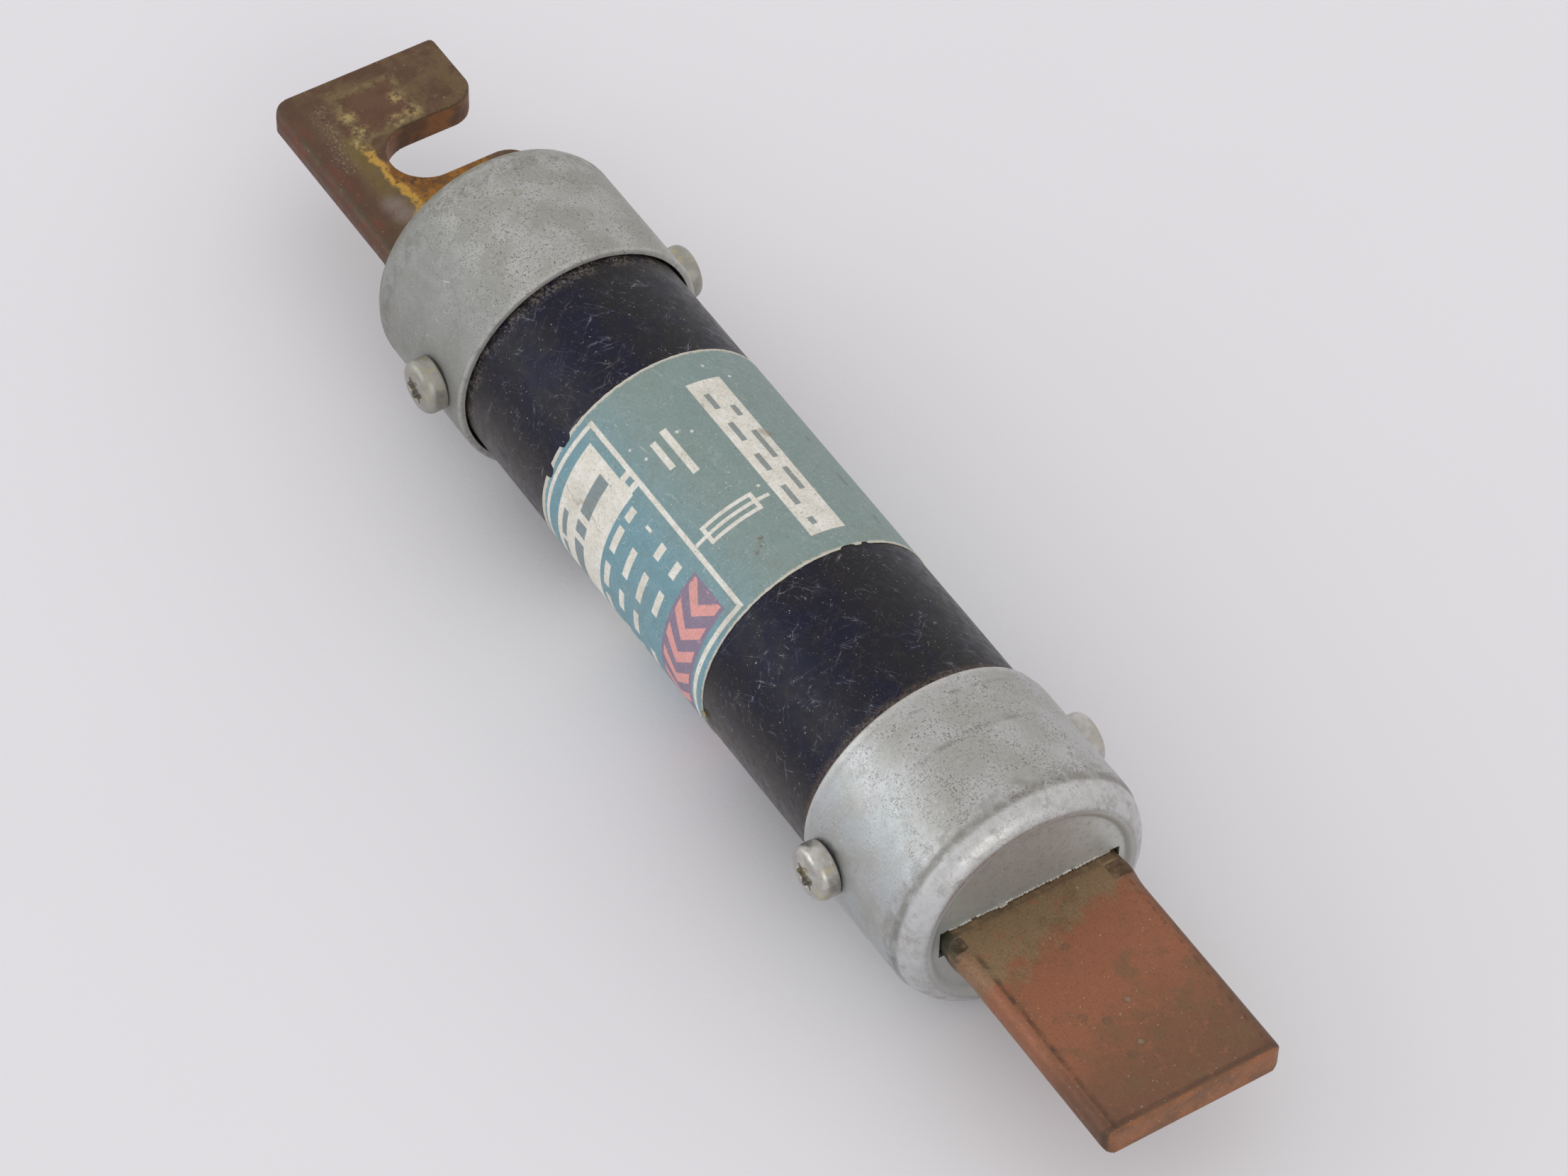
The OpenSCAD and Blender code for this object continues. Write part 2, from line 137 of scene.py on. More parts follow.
def outward(obj):
    shape = bmesh.new()
    shape.from_mesh(obj.data)
    bmesh.ops.recalc_face_normals(shape, faces=shape.faces)
    shape.to_mesh(obj.data)
    shape.free()


def shade(obj, sharp=38):
    mesh = obj.data
    mesh.polygons.foreach_set("use_smooth", [True] * len(mesh.polygons))
    mesh.set_sharp_from_angle(angle=math.radians(sharp))
    mesh.update()


def settle(obj):
    """Turns the object's modifiers into its mesh."""
    graph = bpy.context.evaluated_depsgraph_get()
    mesh = bpy.data.meshes.new_from_object(obj.evaluated_get(graph))
    obj.modifiers.clear()
    obj.data = mesh


def combine(obj, tool, operation="DIFFERENCE"):
    change = obj.modifiers.new("change", "BOOLEAN")
    change.operation = operation
    change.object = tool
    change.solver = "EXACT"
    settle(obj)
    bpy.data.objects.remove(tool)


def dense(path, step):
    """The path with extra points, so that none is further than a step from the next."""
    points = [path[0]]
    for start, end in zip(path, path[1:]):
        count = max(1, math.ceil(math.dist(start, end) / step))
        for i in range(1, count + 1):
            points.append(tuple(a + (b - a) * i / count for a, b in zip(start, end)))
    return points


def lathe(name, profile, sides, closed=False, sharp=38):
    """Turns (x, radius) points round the X axis. A radius of 0 closes that end."""
    points, rings, faces = [], [], []
    for x, radius in profile:
        if radius <= 0:
            rings.append([len(points)])
            points.append((x, 0, 0))
            continue
        rings.append(list(range(len(points), len(points) + sides)))
        for k in range(sides):
            turn = FULL_TURN * k / sides
            points.append((x, radius * math.sin(turn), radius * math.cos(turn)))
    pairs = list(zip(rings, rings[1:]))
    if closed:
        pairs.append((rings[-1], rings[0]))
    for a, b in pairs:
        for k in range(sides):
            n = (k + 1) % sides
            quad = [a[k % len(a)], a[n % len(a)], b[n % len(b)], b[k % len(b)]]
            face = [v for i, v in enumerate(quad) if v not in quad[:i]]
            if len(face) > 2:
                faces.append(face)
    return add_mesh(name, points, faces, sharp)


def as_given(u, v, w):
    return u, v, w


def end_on(u, v, w):
    return w, u, v


def prism(name, outline, low, high, place):
    """An outline pushed from low to high. place(u, v, w) gives each point in space."""
    count = len(outline)
    points = [place(u, v, w) for w in (low, high) for u, v in outline]
    faces = [list(range(count)), list(range(2 * count - 1, count - 1, -1))]
    for k in range(count):
        n = (k + 1) % count
        faces.append([k, n, n + count, k + count])
    return add_mesh(name, points, faces)


def arc(centre, radius, start, end, steps=10):
    """Points on a circle between two angles in degrees."""
    turns = [math.radians(start + (end - start) * i / steps) for i in range(steps + 1)]
    return [(centre[0] + radius * math.cos(t), centre[1] + radius * math.sin(t)) for t in turns]


def ripple(point, scale, seed):
    """Smooth seeded noise from -1 to 1 at a point in millimetres."""
    return noise.noise(Vector(point) * scale + Vector((seed, 2.7 * seed, -seed)))


def reshape(obj, move):
    """Moves every vertex to move(point), in millimetres."""
    for vertex in obj.data.vertices:
        vertex.co = Vector(move(vertex.co / MM)) * MM
    obj.data.update()


def drill(obj, x, radius, low, high, sides=48):
    """Cuts a round hole along Y, from low to high."""
    outline = arc((x, 0), radius, 0, 360 - 360 / sides, sides - 1)
    combine(obj, prism("drill", outline, low, high, lambda u, v, w: (u, w, v)))


def fit(obj, node=None):
    """Puts a piece on the fuse's body and hides the CAD node it stands for."""
    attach(obj, "fuse_body")
    if node:
        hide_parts(node)
    return obj


def coat(obj, material):
    """Gives the object its one material."""
    obj.data.materials.clear()
    obj.data.materials.append(material)


# ---- Caps ----------------------------------------------------------------

OPEN_RIM = [(0.0, 12.84), (0.0, 13.2), (0.05, 13.36), (0.16, 13.46), (0.32, 13.5)]
CRIMPED_RIM = [(0.0, 12.6), (0.0, 12.9), (0.04, 13.05), (0.12, 13.16), (0.26, 13.23),
    (0.5, 13.26), (0.8, 13.3), (1.1, 13.39), (1.4, 13.46), (1.7, 13.49), (2.0, 13.5)]
CAP_END = [(-0.7, 13.5), (-0.4, 13.47), (-0.15, 13.38), (0.05, 13.3), (0.25, 13.27),
    (0.6, 13.2), (1.0, 13.06), (1.35, 12.88), (1.66, 12.66), (1.95, 12.38), (2.2, 12.06),
    (2.4, 11.7), (2.51, 11.35), (2.52, 11.08), (2.43, 10.82), (2.28, 10.64), (2.15, 10.5),
    (2.1, 10.3)]

PLAIN_TURN = [(-0.3, 13.5), (0.05, 13.46), (0.4, 13.35), (0.75, 13.2)]


def cap_profile(crimped):
    """(distance from the rim, radius), from the dish's outside round to its inside."""
    rim = CRIMPED_RIM if crimped else OPEN_RIM
    end = CAP_END if crimped else PLAIN_TURN + CAP_END[6:]
    end = [(CREASE + s, min(r, CAP_RADIUS)) for s, r in end]
    flat = end[-1][0]
    inner_side = CAP_RADIUS - CAP_WALL
    inner_floor = CAP_LENGTH - CAP_FLOOR
    outside = [(flat, 0)] + dense([(flat, 0.4)] + end[::-1], 0.35)
    side = dense([end[0], rim[-1]], 0.35)[1:]
    lip = rim[::-1][1:]
    throat = [(1.3, inner_side)] if crimped else []
    inside = [(CREASE + 0.2, inner_side), (CREASE + 0.9, inner_side - 0.5),
        (inner_floor, 11.2), (inner_floor, 0.4), (inner_floor, 0)]
    last = [lip[-1]] + throat + inside
    return outside + side + lip + dense(last, 0.6)[1:]


def slot_cutter(end, seed):
    """A cutter for the blade's slot, with a torn upper lip."""
    half = BLADE_EDGE + 0.2
    count = 160
    steps = [half - 2 * half * i / count for i in range(count + 1)]
    top = [(y, BLADE_HALF + 0.12 + 0.1 * ripple((y, 0, 0), 2.6, seed)) for y in steps]
    low = [(-half, -BLADE_HALF - 0.15), (half, -BLADE_HALF - 0.15)]
    return prism("slot_cutter", top + low, end - 3, end + 3, end_on)


def cap_surface(seed, dents):
    """Gives the drawn cap its faint waves and small knocks, always inwards."""
    def move(point):
        wave = 0.03 * (1 + ripple(point, 0.13, seed))
        fine = 0.008 * (1 + ripple(point, 0.9, seed + 5))
        depth = wave + fine
        for place, size, amount in dents:
            gap = (point - Vector(place)).length / size
            depth += amount * math.exp(-gap * gap)
        shrink = 1 - depth / CAP_RADIUS
        return point.x, point.y * shrink, point.z * shrink
    return move


def make_cap(name, rim, direction, crimped, screw, seed, dents):
    profile = [(rim + direction * s, r) for s, r in cap_profile(crimped)]
    cap = lathe(name + "_drawn", profile, CAP_SIDES, sharp=50)
    reshape(cap, cap_surface(seed, dents))
    combine(cap, slot_cutter(rim + direction * CAP_LENGTH, seed))
    for side in (-1, 1):
        drill(cap, screw, CAP_HOLE, side * 11, side * 15)
    shade(cap, 50)
    return fit(cap, name)


# ---- Blades --------------------------------------------------------------

def rolled_section(sheared):
    """Cross-section of a blade, as (y, z). Its top edge on the +Y side may be a sheared one."""
    rolls = (sheared, BLADE_ROLL, BLADE_ROLL, BLADE_ROLL)
    ways = ((1, 1), (-1, 1), (-1, -1), (1, -1))
    points = []
    for i, (r, way) in enumerate(zip(rolls, ways)):
        centre = (way[0] * (BLADE_EDGE - r), way[1] * (BLADE_HALF - r))
        points += arc(centre, r, 90 * i, 90 * i + 90, 12)
    return points


def plain_plan():
    tip, edge, r = BLADE_TIP, BLADE_EDGE + 1, 1.2
    low = arc((tip - r, -BLADE_EDGE + r), r, -90, 0)
    high = arc((tip - r, BLADE_EDGE - r), r, 0, 90)
    return [(BLADE_ROOT - 1, -edge), (tip - r, -edge)] + low + high + [
        (tip - r, edge), (BLADE_ROOT - 1, edge)]


def slotted_plan():
    tip, e, worn, small = BLADE_TIP, BLADE_EDGE, 2.2, 0.6
    left, right = SLOT_MIDDLE - SLOT_HALF, SLOT_MIDDLE + SLOT_HALF
    shoulder = e - SLOT_MOUTH
    return ([(BLADE_ROOT - 1, -e - 1), (tip - worn, -e - 1)]
        + arc((tip - worn, -e + worn), worn, -90, 0)
        + arc((tip - small, e - small), small, 0, 90)
        + [(tip - small, e + 1), (right + SLOT_MOUTH, e + 1)]
        + arc((right + SLOT_MOUTH, shoulder), SLOT_MOUTH, 90, 180)
        + arc((SLOT_MIDDLE, SLOT_BOTTOM), SLOT_HALF, 0, -180, 28)
        + arc((left - SLOT_MOUTH, shoulder), SLOT_MOUTH, 0, 90)
        + [(left - SLOT_MOUTH, e + 1), (BLADE_ROOT - 1, e + 1)])


def make_stakes(blade, cap_end):
    """Punches the two stakes beside the cap. Both run off the blade's edges."""
    start = cap_end + STAKE_START
    for side, reach, run in ((1, STAKE_REACH, STAKE_LENGTH), (-1, 1.3, 1.4)):
        low, high = sorted((side * (BLADE_EDGE - reach), side * (BLADE_EDGE + 2)))
        outline = [(start, low), (start + run, low), (start + run, high), (start, high)]
        dent = prism("dent", outline, BLADE_HALF - STAKE_DEPTH, BLADE_HALF + 2, as_given)
        soft = dent.modifiers.new("soft", "BEVEL")
        soft.width = STAKE_ROUND * MM
        soft.segments = 4
        settle(dent)
        combine(blade, dent)


def swell(point, cap_end):
    """How far the edge of a blade stands out beside a stake."""
    run = (point.x - cap_end - STAKE_START - STAKE_LENGTH / 2) / STAKE_LENGTH
    near_edge = max(0.0, abs(point.y) - BLADE_EDGE + 1.2) / 1.2
    return 0.3 * math.exp(-1.5 * run * run) * near_edge


def make_blade(name, direction, plan, cap_end, screw, seed, sheared=BLADE_ROLL):
    blade = prism(name + "_bar", rolled_section(sheared), BLADE_ROOT, BLADE_TIP, end_on)
    combine(blade, prism("plan", plan, -3, 3, as_given), "INTERSECT")
    make_stakes(blade, cap_end)
    for side in (-1, 1):
        drill(blade, screw, SHANK_RADIUS, side * 5.3, side * 15, 32)
    skin = blade.modifiers.new("skin", "REMESH")
    skin.mode = "VOXEL"
    skin.voxel_size = SKIN_VOXEL * MM
    worn = blade.modifiers.new("worn", "SMOOTH")
    worn.iterations = 2
    settle(blade)

    def move(point):
        y = point.y + math.copysign(swell(point, cap_end), point.y)
        hidden = point.x < cap_end + FLAT_GAP
        half = BLADE_HALF - (FLAT_RELIEF if hidden else 0)
        uneven = 0.012 * ripple(point, 0.5, seed) - 0.012
        z = max(-half, min(half, point.z + math.copysign(uneven, point.z)))
        x = max(BLADE_ROOT, min(BLADE_TIP, point.x))
        return direction * x, max(PLAIN_LOW.y, min(PLAIN_HIGH.y, y)), z

    reshape(blade, move)
    outward(blade)
    shade(blade, 80)
    return fit(blade, name)


# ---- Tube and label ------------------------------------------------------

def make_tube():
    low, high, r = TUBE_LOW.x, TUBE_HIGH.x, TUBE_RADIUS
    profile = dense([(low + 0.2, r), (high - 0.2, r)], 0.5)
    profile += [(high - 0.06, r - 0.05), (high, r - 0.2), (high, TUBE_BORE + 0.2),
        (high - 0.2, TUBE_BORE), (low + 0.2, TUBE_BORE), (low, TUBE_BORE + 0.2),
        (low, r - 0.2), (low + 0.06, r - 0.05)]
    tube = lathe("fuse_tube_wound", profile, TUBE_SIDES, closed=True)

    def move(point):
        radius = math.hypot(point.y, point.z)
        if radius < r - 0.3:
            return point
        shrink = 1 - 0.012 * (1 + ripple(point, 0.25, 3)) / r
        return point.x, point.y * shrink, point.z * shrink

    reshape(tube, move)
    for screw in (FAR_SCREW, NEAR_SCREW):
        drill(tube, screw, TUBE_HOLE, -15, 15)
    shade(tube)
    return fit(tube, "fuse_tube")


def chip(turn, middle, width, depth):
    """How far a chip in the paper's edge reaches in, at a turn in degrees."""
    gap = abs(turn - middle) / width
    return depth * max(0.0, 1 - gap ** 4) if gap < 1 else 0.0


def label_edges(turn):
    """Start and end of the label at a turn in degrees, with its skew and its chips."""
    skew = 0.25 * (1 - math.cos(math.radians(turn + 10)))
    rough = 0.05 * ripple((turn, 0, 0), 0.35, 7) + 0.03 * ripple((turn, 0, 0), 1.7, 8)
    start = LABEL_LOW.x + 0.5 - skew + rough
    start += chip(turn, 54, 4, 0.55) + chip(turn, 71, 3.5, 0.75) + chip(turn, -150, 6, 0.9)
    rough = 0.05 * ripple((turn, 9, 0), 0.35, 9) + 0.03 * ripple((turn, 9, 0), 1.7, 4)
    end = LABEL_HIGH.x - 0.5 * skew + rough - 0.08
    end -= chip(turn, -14, 4, 0.3) + chip(turn, -23, 2, 0.25) + chip(turn, 131, 5, 0.6)
    return max(LABEL_LOW.x, start), min(LABEL_HIGH.x, end)


def label_thickness(turn, x):
    """Outer radius of the paper, with the lap at the back and faint wrinkles."""
    lap = 0.035 if 168 < turn or turn < -180 + 4 else 0.0
    wrinkle = 0.008 * ripple((x, turn * ARC_PER_DEGREE, 0), 0.5, 12)
    return LABEL_RADIUS - 0.045 + lap + wrinkle


def make_label():
    sides, columns = LABEL_SIDES, LABEL_COLUMNS
    points, faces = [], []
    for layer in (0, 1):
        for k in range(sides):
            turn = -180 + 360 * k / sides
            start, end = label_edges(turn)
            spin = math.radians(turn)
            for i in range(columns + 1):
                x = start + (end - start) * i / columns
                r = label_thickness(turn, x) if layer else TUBE_RADIUS
                points.append((x, -r * math.sin(spin), r * math.cos(spin)))
    row = columns + 1

    def at(layer, k, i):
        return (layer * sides + k % sides) * row + i

    for k in range(sides):
        for i in range(columns):
            for layer in (0, 1):
                faces.append([at(layer, k, i), at(layer, k, i + 1), at(layer, k + 1, i + 1),
                    at(layer, k + 1, i)])
        for i in (0, columns):
            faces.append([at(0, k, i), at(0, k + 1, i), at(1, k + 1, i), at(1, k, i)])
    label = add_mesh("paper_label_wrap", points, faces, 60)
    return fit(label, "paper_label")


# ---- Screws --------------------------------------------------------------

def lobed(turn):
    """Radius of the six-lobed driver recess at a turn."""
    return 1.18 + 0.19 * math.cos(6 * turn) + 0.02 * math.cos(12 * turn)


def head_height(radius):
    """Height of the head at a radius: a nearly flat top with a rounded edge."""
    share = min(1.0, max(0.0, (radius - HEAD_FLAT) / (HEAD_RADIUS - HEAD_FLAT)))
    crown = HEAD_CROWN * (1 - min(1.0, radius / HEAD_FLAT) ** 2)
    edge = HEAD_HEIGHT - HEAD_CROWN - HEAD_SIDE
    return HEAD_SIDE + crown + edge * math.sqrt(max(0.0, 1 - share * share))


def screw_rings(turn):
    """(radius, height) along the screw's skin at a turn, from the recess to the tip."""
    floor = HEAD_HEIGHT - RECESS_DEPTH
    mouth = lobed(turn)
    recess = [(0.5 * mouth, floor), (0.86 * mouth, floor), (0.95 * mouth, floor + 0.08),
        (0.98 * mouth, floor + 0.25), (mouth, HEAD_HEIGHT - 0.3),
        (mouth + 0.01, HEAD_HEIGHT - 0.14)]
    rim = mouth + 0.06
    top = [rim + (HEAD_FLAT - rim) * i / 6 for i in range(6)]
    top += [HEAD_FLAT + (HEAD_RADIUS - HEAD_FLAT) * math.sin(math.radians(90 * i / 18))
        for i in range(19)]
    return recess + [(radius, head_height(radius)) for radius in top] + [
        (HEAD_RADIUS, 0.7), (HEAD_RADIUS, 0.12), (HEAD_RADIUS - 0.12, 0.0),
        (SHANK_RADIUS, 0.0), (SHANK_RADIUS, -4), (SHANK_RADIUS, 0.5 - SHANK_LENGTH),
        (SHANK_RADIUS - 0.5, -SHANK_LENGTH)]


def make_screws(name, place, spins):
    sides = SCREW_SIDES
    points, faces = [], []
    for side, spin in zip((-1, 1), spins):
        base = len(points)
        count = len(screw_rings(0))
        points.append((place, side * (CAP_RADIUS + HEAD_HEIGHT - RECESS_DEPTH), 0))
        for k in range(sides):
            turn = FULL_TURN * k / sides
            angle = turn + spin
            for radius, height in screw_rings(turn):
                points.append((place + radius * math.cos(angle),
                    side * (CAP_RADIUS + height), radius * math.sin(angle)))
        points.append((place, side * (CAP_RADIUS - SHANK_LENGTH), 0))
        tip = len(points) - 1
        for k in range(sides):
            a = base + 1 + k * count
            b = base + 1 + (k + 1) % sides * count
            faces.append([base, a, b])
            faces.append([tip, b + count - 1, a + count - 1])
            for i in range(count - 1):
                faces.append([a + i, a + i + 1, b + i + 1, b + i])
    return fit(add_mesh(name + "_turned", points, faces, 40), name)


# ---- Small pieces --------------------------------------------------------

def crumb(points, faces, place, size, rng):
    """Adds one lumpy grain to the lists."""
    shape = bmesh.new()
    bmesh.ops.create_icosphere(shape, subdivisions=2, radius=1)
    base = len(points)
    stretch = [rng.uniform(0.6, 1.2) for _ in range(3)]
    seed = rng.uniform(0, 50)
    for vertex in shape.verts:
        lump = 1 + 0.45 * ripple(vertex.co, 1.3, seed)
        points.append(tuple(place[i] + size * stretch[i] * lump * vertex.co[i]
            for i in range(3)))
    for face in shape.faces:
        faces.append([base + v.index for v in face.verts])
    shape.free()


def make_crumbs():
    """Pale crumbs of sealant squeezed out along the slots of the two caps."""
    rng = random.Random(41)
    points, faces = [], []
    dish = CAP_LENGTH - CREASE - CAP_END[-1][0]
    for end, count in ((NEAR_END - dish, 420), (-FAR_END + dish, 90)):
        outward_side = math.copysign(1, end)
        for _ in range(count):
            y = rng.uniform(-8.8, 8.6)
            size = rng.uniform(0.035, 0.12)
            x = end + outward_side * rng.uniform(-0.04, 0.07)
            crumb(points, faces, (x, y, BLADE_HALF + rng.uniform(0.06, 0.2)), size, rng)
    for _ in range(16):
        spot = (NEAR_END - dish + rng.uniform(-0.1, 0.2), rng.gauss(-3.4, 0.35),
            BLADE_HALF + rng.uniform(0.05, 0.2))
        crumb(points, faces, spot, rng.uniform(0.1, 0.2), rng)
    return fit(add_mesh("slot_crumbs", points, faces, 60))


def strand(points, faces, path, radius, sides, across):
    """Adds a closed thin tube along a path. across(i) gives two ways square to the path."""
    base = len(points)
    for i, middle in enumerate(path):
        side, other = across(i)
        for k in range(sides):
            turn = FULL_TURN * k / sides
            points.append(tuple(Vector(middle) + radius * (
                side * math.cos(turn) + other * math.sin(turn))))
    for i in range(len(path) - 1):
        for k in range(sides):
            n = (k + 1) % sides
            a = base + i * sides
            faces.append([a + k, a + n, a + n + sides, a + k + sides])
    last = base + (len(path) - 1) * sides
    faces.append(list(range(base, base + sides))[::-1])
    faces.append(list(range(last, last + sides)))


def make_fibres():
    """A tuft of torn paper fibres at the label's edge, low on the near side."""
    rng = random.Random(12)
    points, faces = [], []
    for _ in range(9):
        turn = math.radians(100 + rng.uniform(-2.5, 2.5))
        x = LABEL_HIGH.x - 0.4 + rng.uniform(-0.2, 0.2)
        reach, lift = rng.uniform(0.5, 1.2), rng.uniform(0.1, 0.5)
        drift = rng.uniform(-0.5, 0.5)
        path = []
        for i in range(8):
            t = i / 7
            r = LABEL_RADIUS - 0.04 + lift * t * t
            angle = turn + drift * t * t / LABEL_RADIUS
            path.append(Vector((x + reach * t, -r * math.sin(angle), r * math.cos(angle))))

        def across(i):
            ahead = path[min(i + 1, 7)] - path[max(i - 1, 0)]
            side = ahead.orthogonal().normalized()
            return side, ahead.normalized().cross(side)

        strand(points, faces, path, rng.uniform(0.02, 0.045), 6, across)
    return fit(add_mesh("label_fibres", points, faces, 80))


def make_spring():
    """The trigger's spring as a smooth coil between the ends of the CAD spring."""
    turns, per_turn, radius, wire = 5, 48, 3.3, 0.4
    start, end = SPRING_LOW.x + wire, SPRING_HIGH.x - wire
    steps = turns * per_turn
    path = []
    for i in range(steps + 1):
        angle = FULL_TURN * i / per_turn
        share = i / steps
        path.append((start + (end - start) * share, radius * math.cos(angle),
            radius * math.sin(angle)))

    def across(i):
        angle = FULL_TURN * i / per_turn
        return Vector((0, math.cos(angle), math.sin(angle))), Vector((1, 0, 0))

    points, faces = [], []
    strand(points, faces, path, wire, 16, across)
    spring = add_mesh("trigger_spring_coil", points, faces, 60)
    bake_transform(spring)
    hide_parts("trigger_spring")
    return spring


# ---- Material helper -----------------------------------------------------

def tint(colour):
    """A colour given as 0 to 255 screen values, as the linear colour nodes need."""
    def straight(c):
        c /= 255
        return c / 12.92 if c <= 0.04045 else ((c + 0.055) / 1.055) ** 2.4
    return (*map(straight, colour), 1.0)


class Field:
    """A value in a material's nodes, which adds and multiplies like a number."""

    def __init__(self, paint, socket):
        self.paint, self.socket = paint, socket

    def __add__(self, other):
        return self.paint.math("ADD", self, other)

    def __sub__(self, other):
        return self.paint.math("SUBTRACT", self, other)

    def __rsub__(self, other):
        return self.paint.math("SUBTRACT", other, self)

    def __mul__(self, other):
        return self.paint.math("MULTIPLY", self, other)

    def __truediv__(self, other):
        return self.paint.math("DIVIDE", self, other)

    def __abs__(self):
        return self.paint.math("ABSOLUTE", self)

    __radd__, __rmul__ = __add__, __mul__

    def ramp(self, low, high, to_low=0.0, to_high=1.0):
        """Smooth step from to_low to to_high as the value goes from low to high."""
        return self.paint.node("ShaderNodeMapRange", "Result", {"Value": self, "From Min": low,
            "From Max": high, "To Min": to_low, "To Max": to_high},
            interpolation_type="SMOOTHSTEP")

    def band(self, low, high, soft):
        """1 between low and high, with soft sides."""
        return self.ramp(low - soft, low + soft) * self.ramp(high - soft, high + soft, 1.0, 0.0)


class Paint:
    """Builds one node material. Places are in millimetres on the object."""

    def __init__(self, name, metallic=0.0, specular=0.5):
        self.material = bpy.data.materials.new(name)
        self.material.use_nodes = True
        self.nodes = self.material.node_tree.nodes
        self.links = self.material.node_tree.links
        self.shader = self.nodes["Principled BSDF"]
        self.give(self.shader, {"Metallic": metallic, "Specular IOR Level": specular})
        metres = self.node("ShaderNodeTexCoord", "Object", {})
        self.place = self.vector("SCALE", metres, scale=1 / MM)
        split = self.nodes.new("ShaderNodeSeparateXYZ")
        self.give(split, {"Vector": self.place})
        self.x, self.y, self.z = (Field(self, socket) for socket in split.outputs)
        self.turn = self.math("DEGREES", self.math("ARCTAN2", self.y * -1, self.z))
        self.arc = self.turn * ARC_PER_DEGREE
        self.radius = self.math("SQRT", self.y * self.y + self.z * self.z)
        self.flat = self.node("ShaderNodeCombineXYZ", 0, {"X": self.x, "Y": self.arc})

    def give(self, node, inputs):
        for name, value in inputs.items():
            if isinstance(value, Field):
                self.links.new(value.socket, node.inputs[name])
            else:
                node.inputs[name].default_value = value

    def node(self, kind, output, inputs, **settings):
        """Adds a node. Gives the field that comes out of it."""
        node = self.nodes.new(kind)
        for name, value in settings.items():
            setattr(node, name, value)
        self.give(node, inputs)
        return Field(self, node.outputs[output])

    def math(self, operation, a, b=0.0):
        return self.node("ShaderNodeMath", 0, {0: a, 1: b}, operation=operation)

    def vector(self, operation, a, b=(0, 0, 0), scale=1.0):
        output = "Value" if operation == "DISTANCE" else "Vector"
        return self.node("ShaderNodeVectorMath", output, {0: a, 1: b, 3: scale},
            operation=operation)

    def moved(self, *way):
        """The place, moved on to another stretch of a noise."""
        return self.vector("ADD", self.place, way)

    def mix(self, share, a, b):
        """Mixes two colours, which are fields or 0 to 255 screen values."""
        a, b = (c if isinstance(c, Field) else tint(c) for c in (a, b))
        return self.node("ShaderNodeMix", 2, {"Factor": share, 6: a, 7: b}, data_type="RGBA")

    def lay(self, colour, share):
        """Lays a colour over the material's own."""
        self.colour = self.mix(share, self.colour, colour)

    def noise(self, scale, detail=4.0, roughness=0.55, place=None, warp=0.0):
        """Noise from 0 to 1 with features of about 1 / scale millimetres."""
        return self.node("ShaderNodeTexNoise", 0, {"Vector": place or self.place,
            "Scale": scale, "Detail": detail, "Roughness": roughness, "Distortion": warp})

    def cells(self, scale, feature="F1", place=None):
        """Distance from the middle of the nearest cell, or to its edge."""
        return self.node("ShaderNodeTexVoronoi", "Distance",
            {"Vector": place or self.place, "Scale": scale}, feature=feature)

    def most(self, result, *others):
        for other in others:
            result = self.math("MAXIMUM", result, other)
        return result

    def rectangle(self, x_low, x_high, turn_low, turn_high, soft=0.06):
        """A printed rectangle on the tube, by place along it and by turn in degrees."""
        low, high = turn_low * ARC_PER_DEGREE, turn_high * ARC_PER_DEGREE
        return self.x.band(x_low, x_high, soft) * self.arc.band(low, high, soft)

    def spots(self, places, size, soft):
        """Round spots at the given points."""
        return self.most(*(self.vector("DISTANCE", self.place, place).ramp(
            size - soft, size + soft, 1.0, 0.0) for place in places))

    def scratches(self, angle, length, width, seed, share=0.5):
        """Thin straight scratches at one angle to the axis, broken up by noise."""
        turned = self.node("ShaderNodeVectorRotate", 0,
            {"Vector": self.flat, "Angle": math.radians(angle)}, rotation_type="Z_AXIS")
        stretched = self.vector("MULTIPLY", turned, (1 / length, 1 / width, 1.0))
        moved = self.vector("ADD", stretched, (seed, 3.1 * seed, 0.0))
        line = self.cells(1.0, "DISTANCE_TO_EDGE", moved).ramp(0.015, 0.05, 1.0, 0.0)
        return line * self.noise(0.5, 2, place=moved).ramp(share, share + 0.12)

    def finish(self, roughness, height, depth, metallic=None):
        """Connects the colour, the roughness and a bump of the given depth in millimetres."""
        bump = self.node("ShaderNodeBump", 0,
            {"Height": height, "Distance": depth * MM, "Strength": 1.0})
        self.give(self.shader,
            {"Base Color": self.colour, "Roughness": roughness, "Normal": bump})
        if metallic is not None:
            self.give(self.shader, {"Metallic": metallic})
        return self.material


# ---- Materials -----------------------------------------------------------

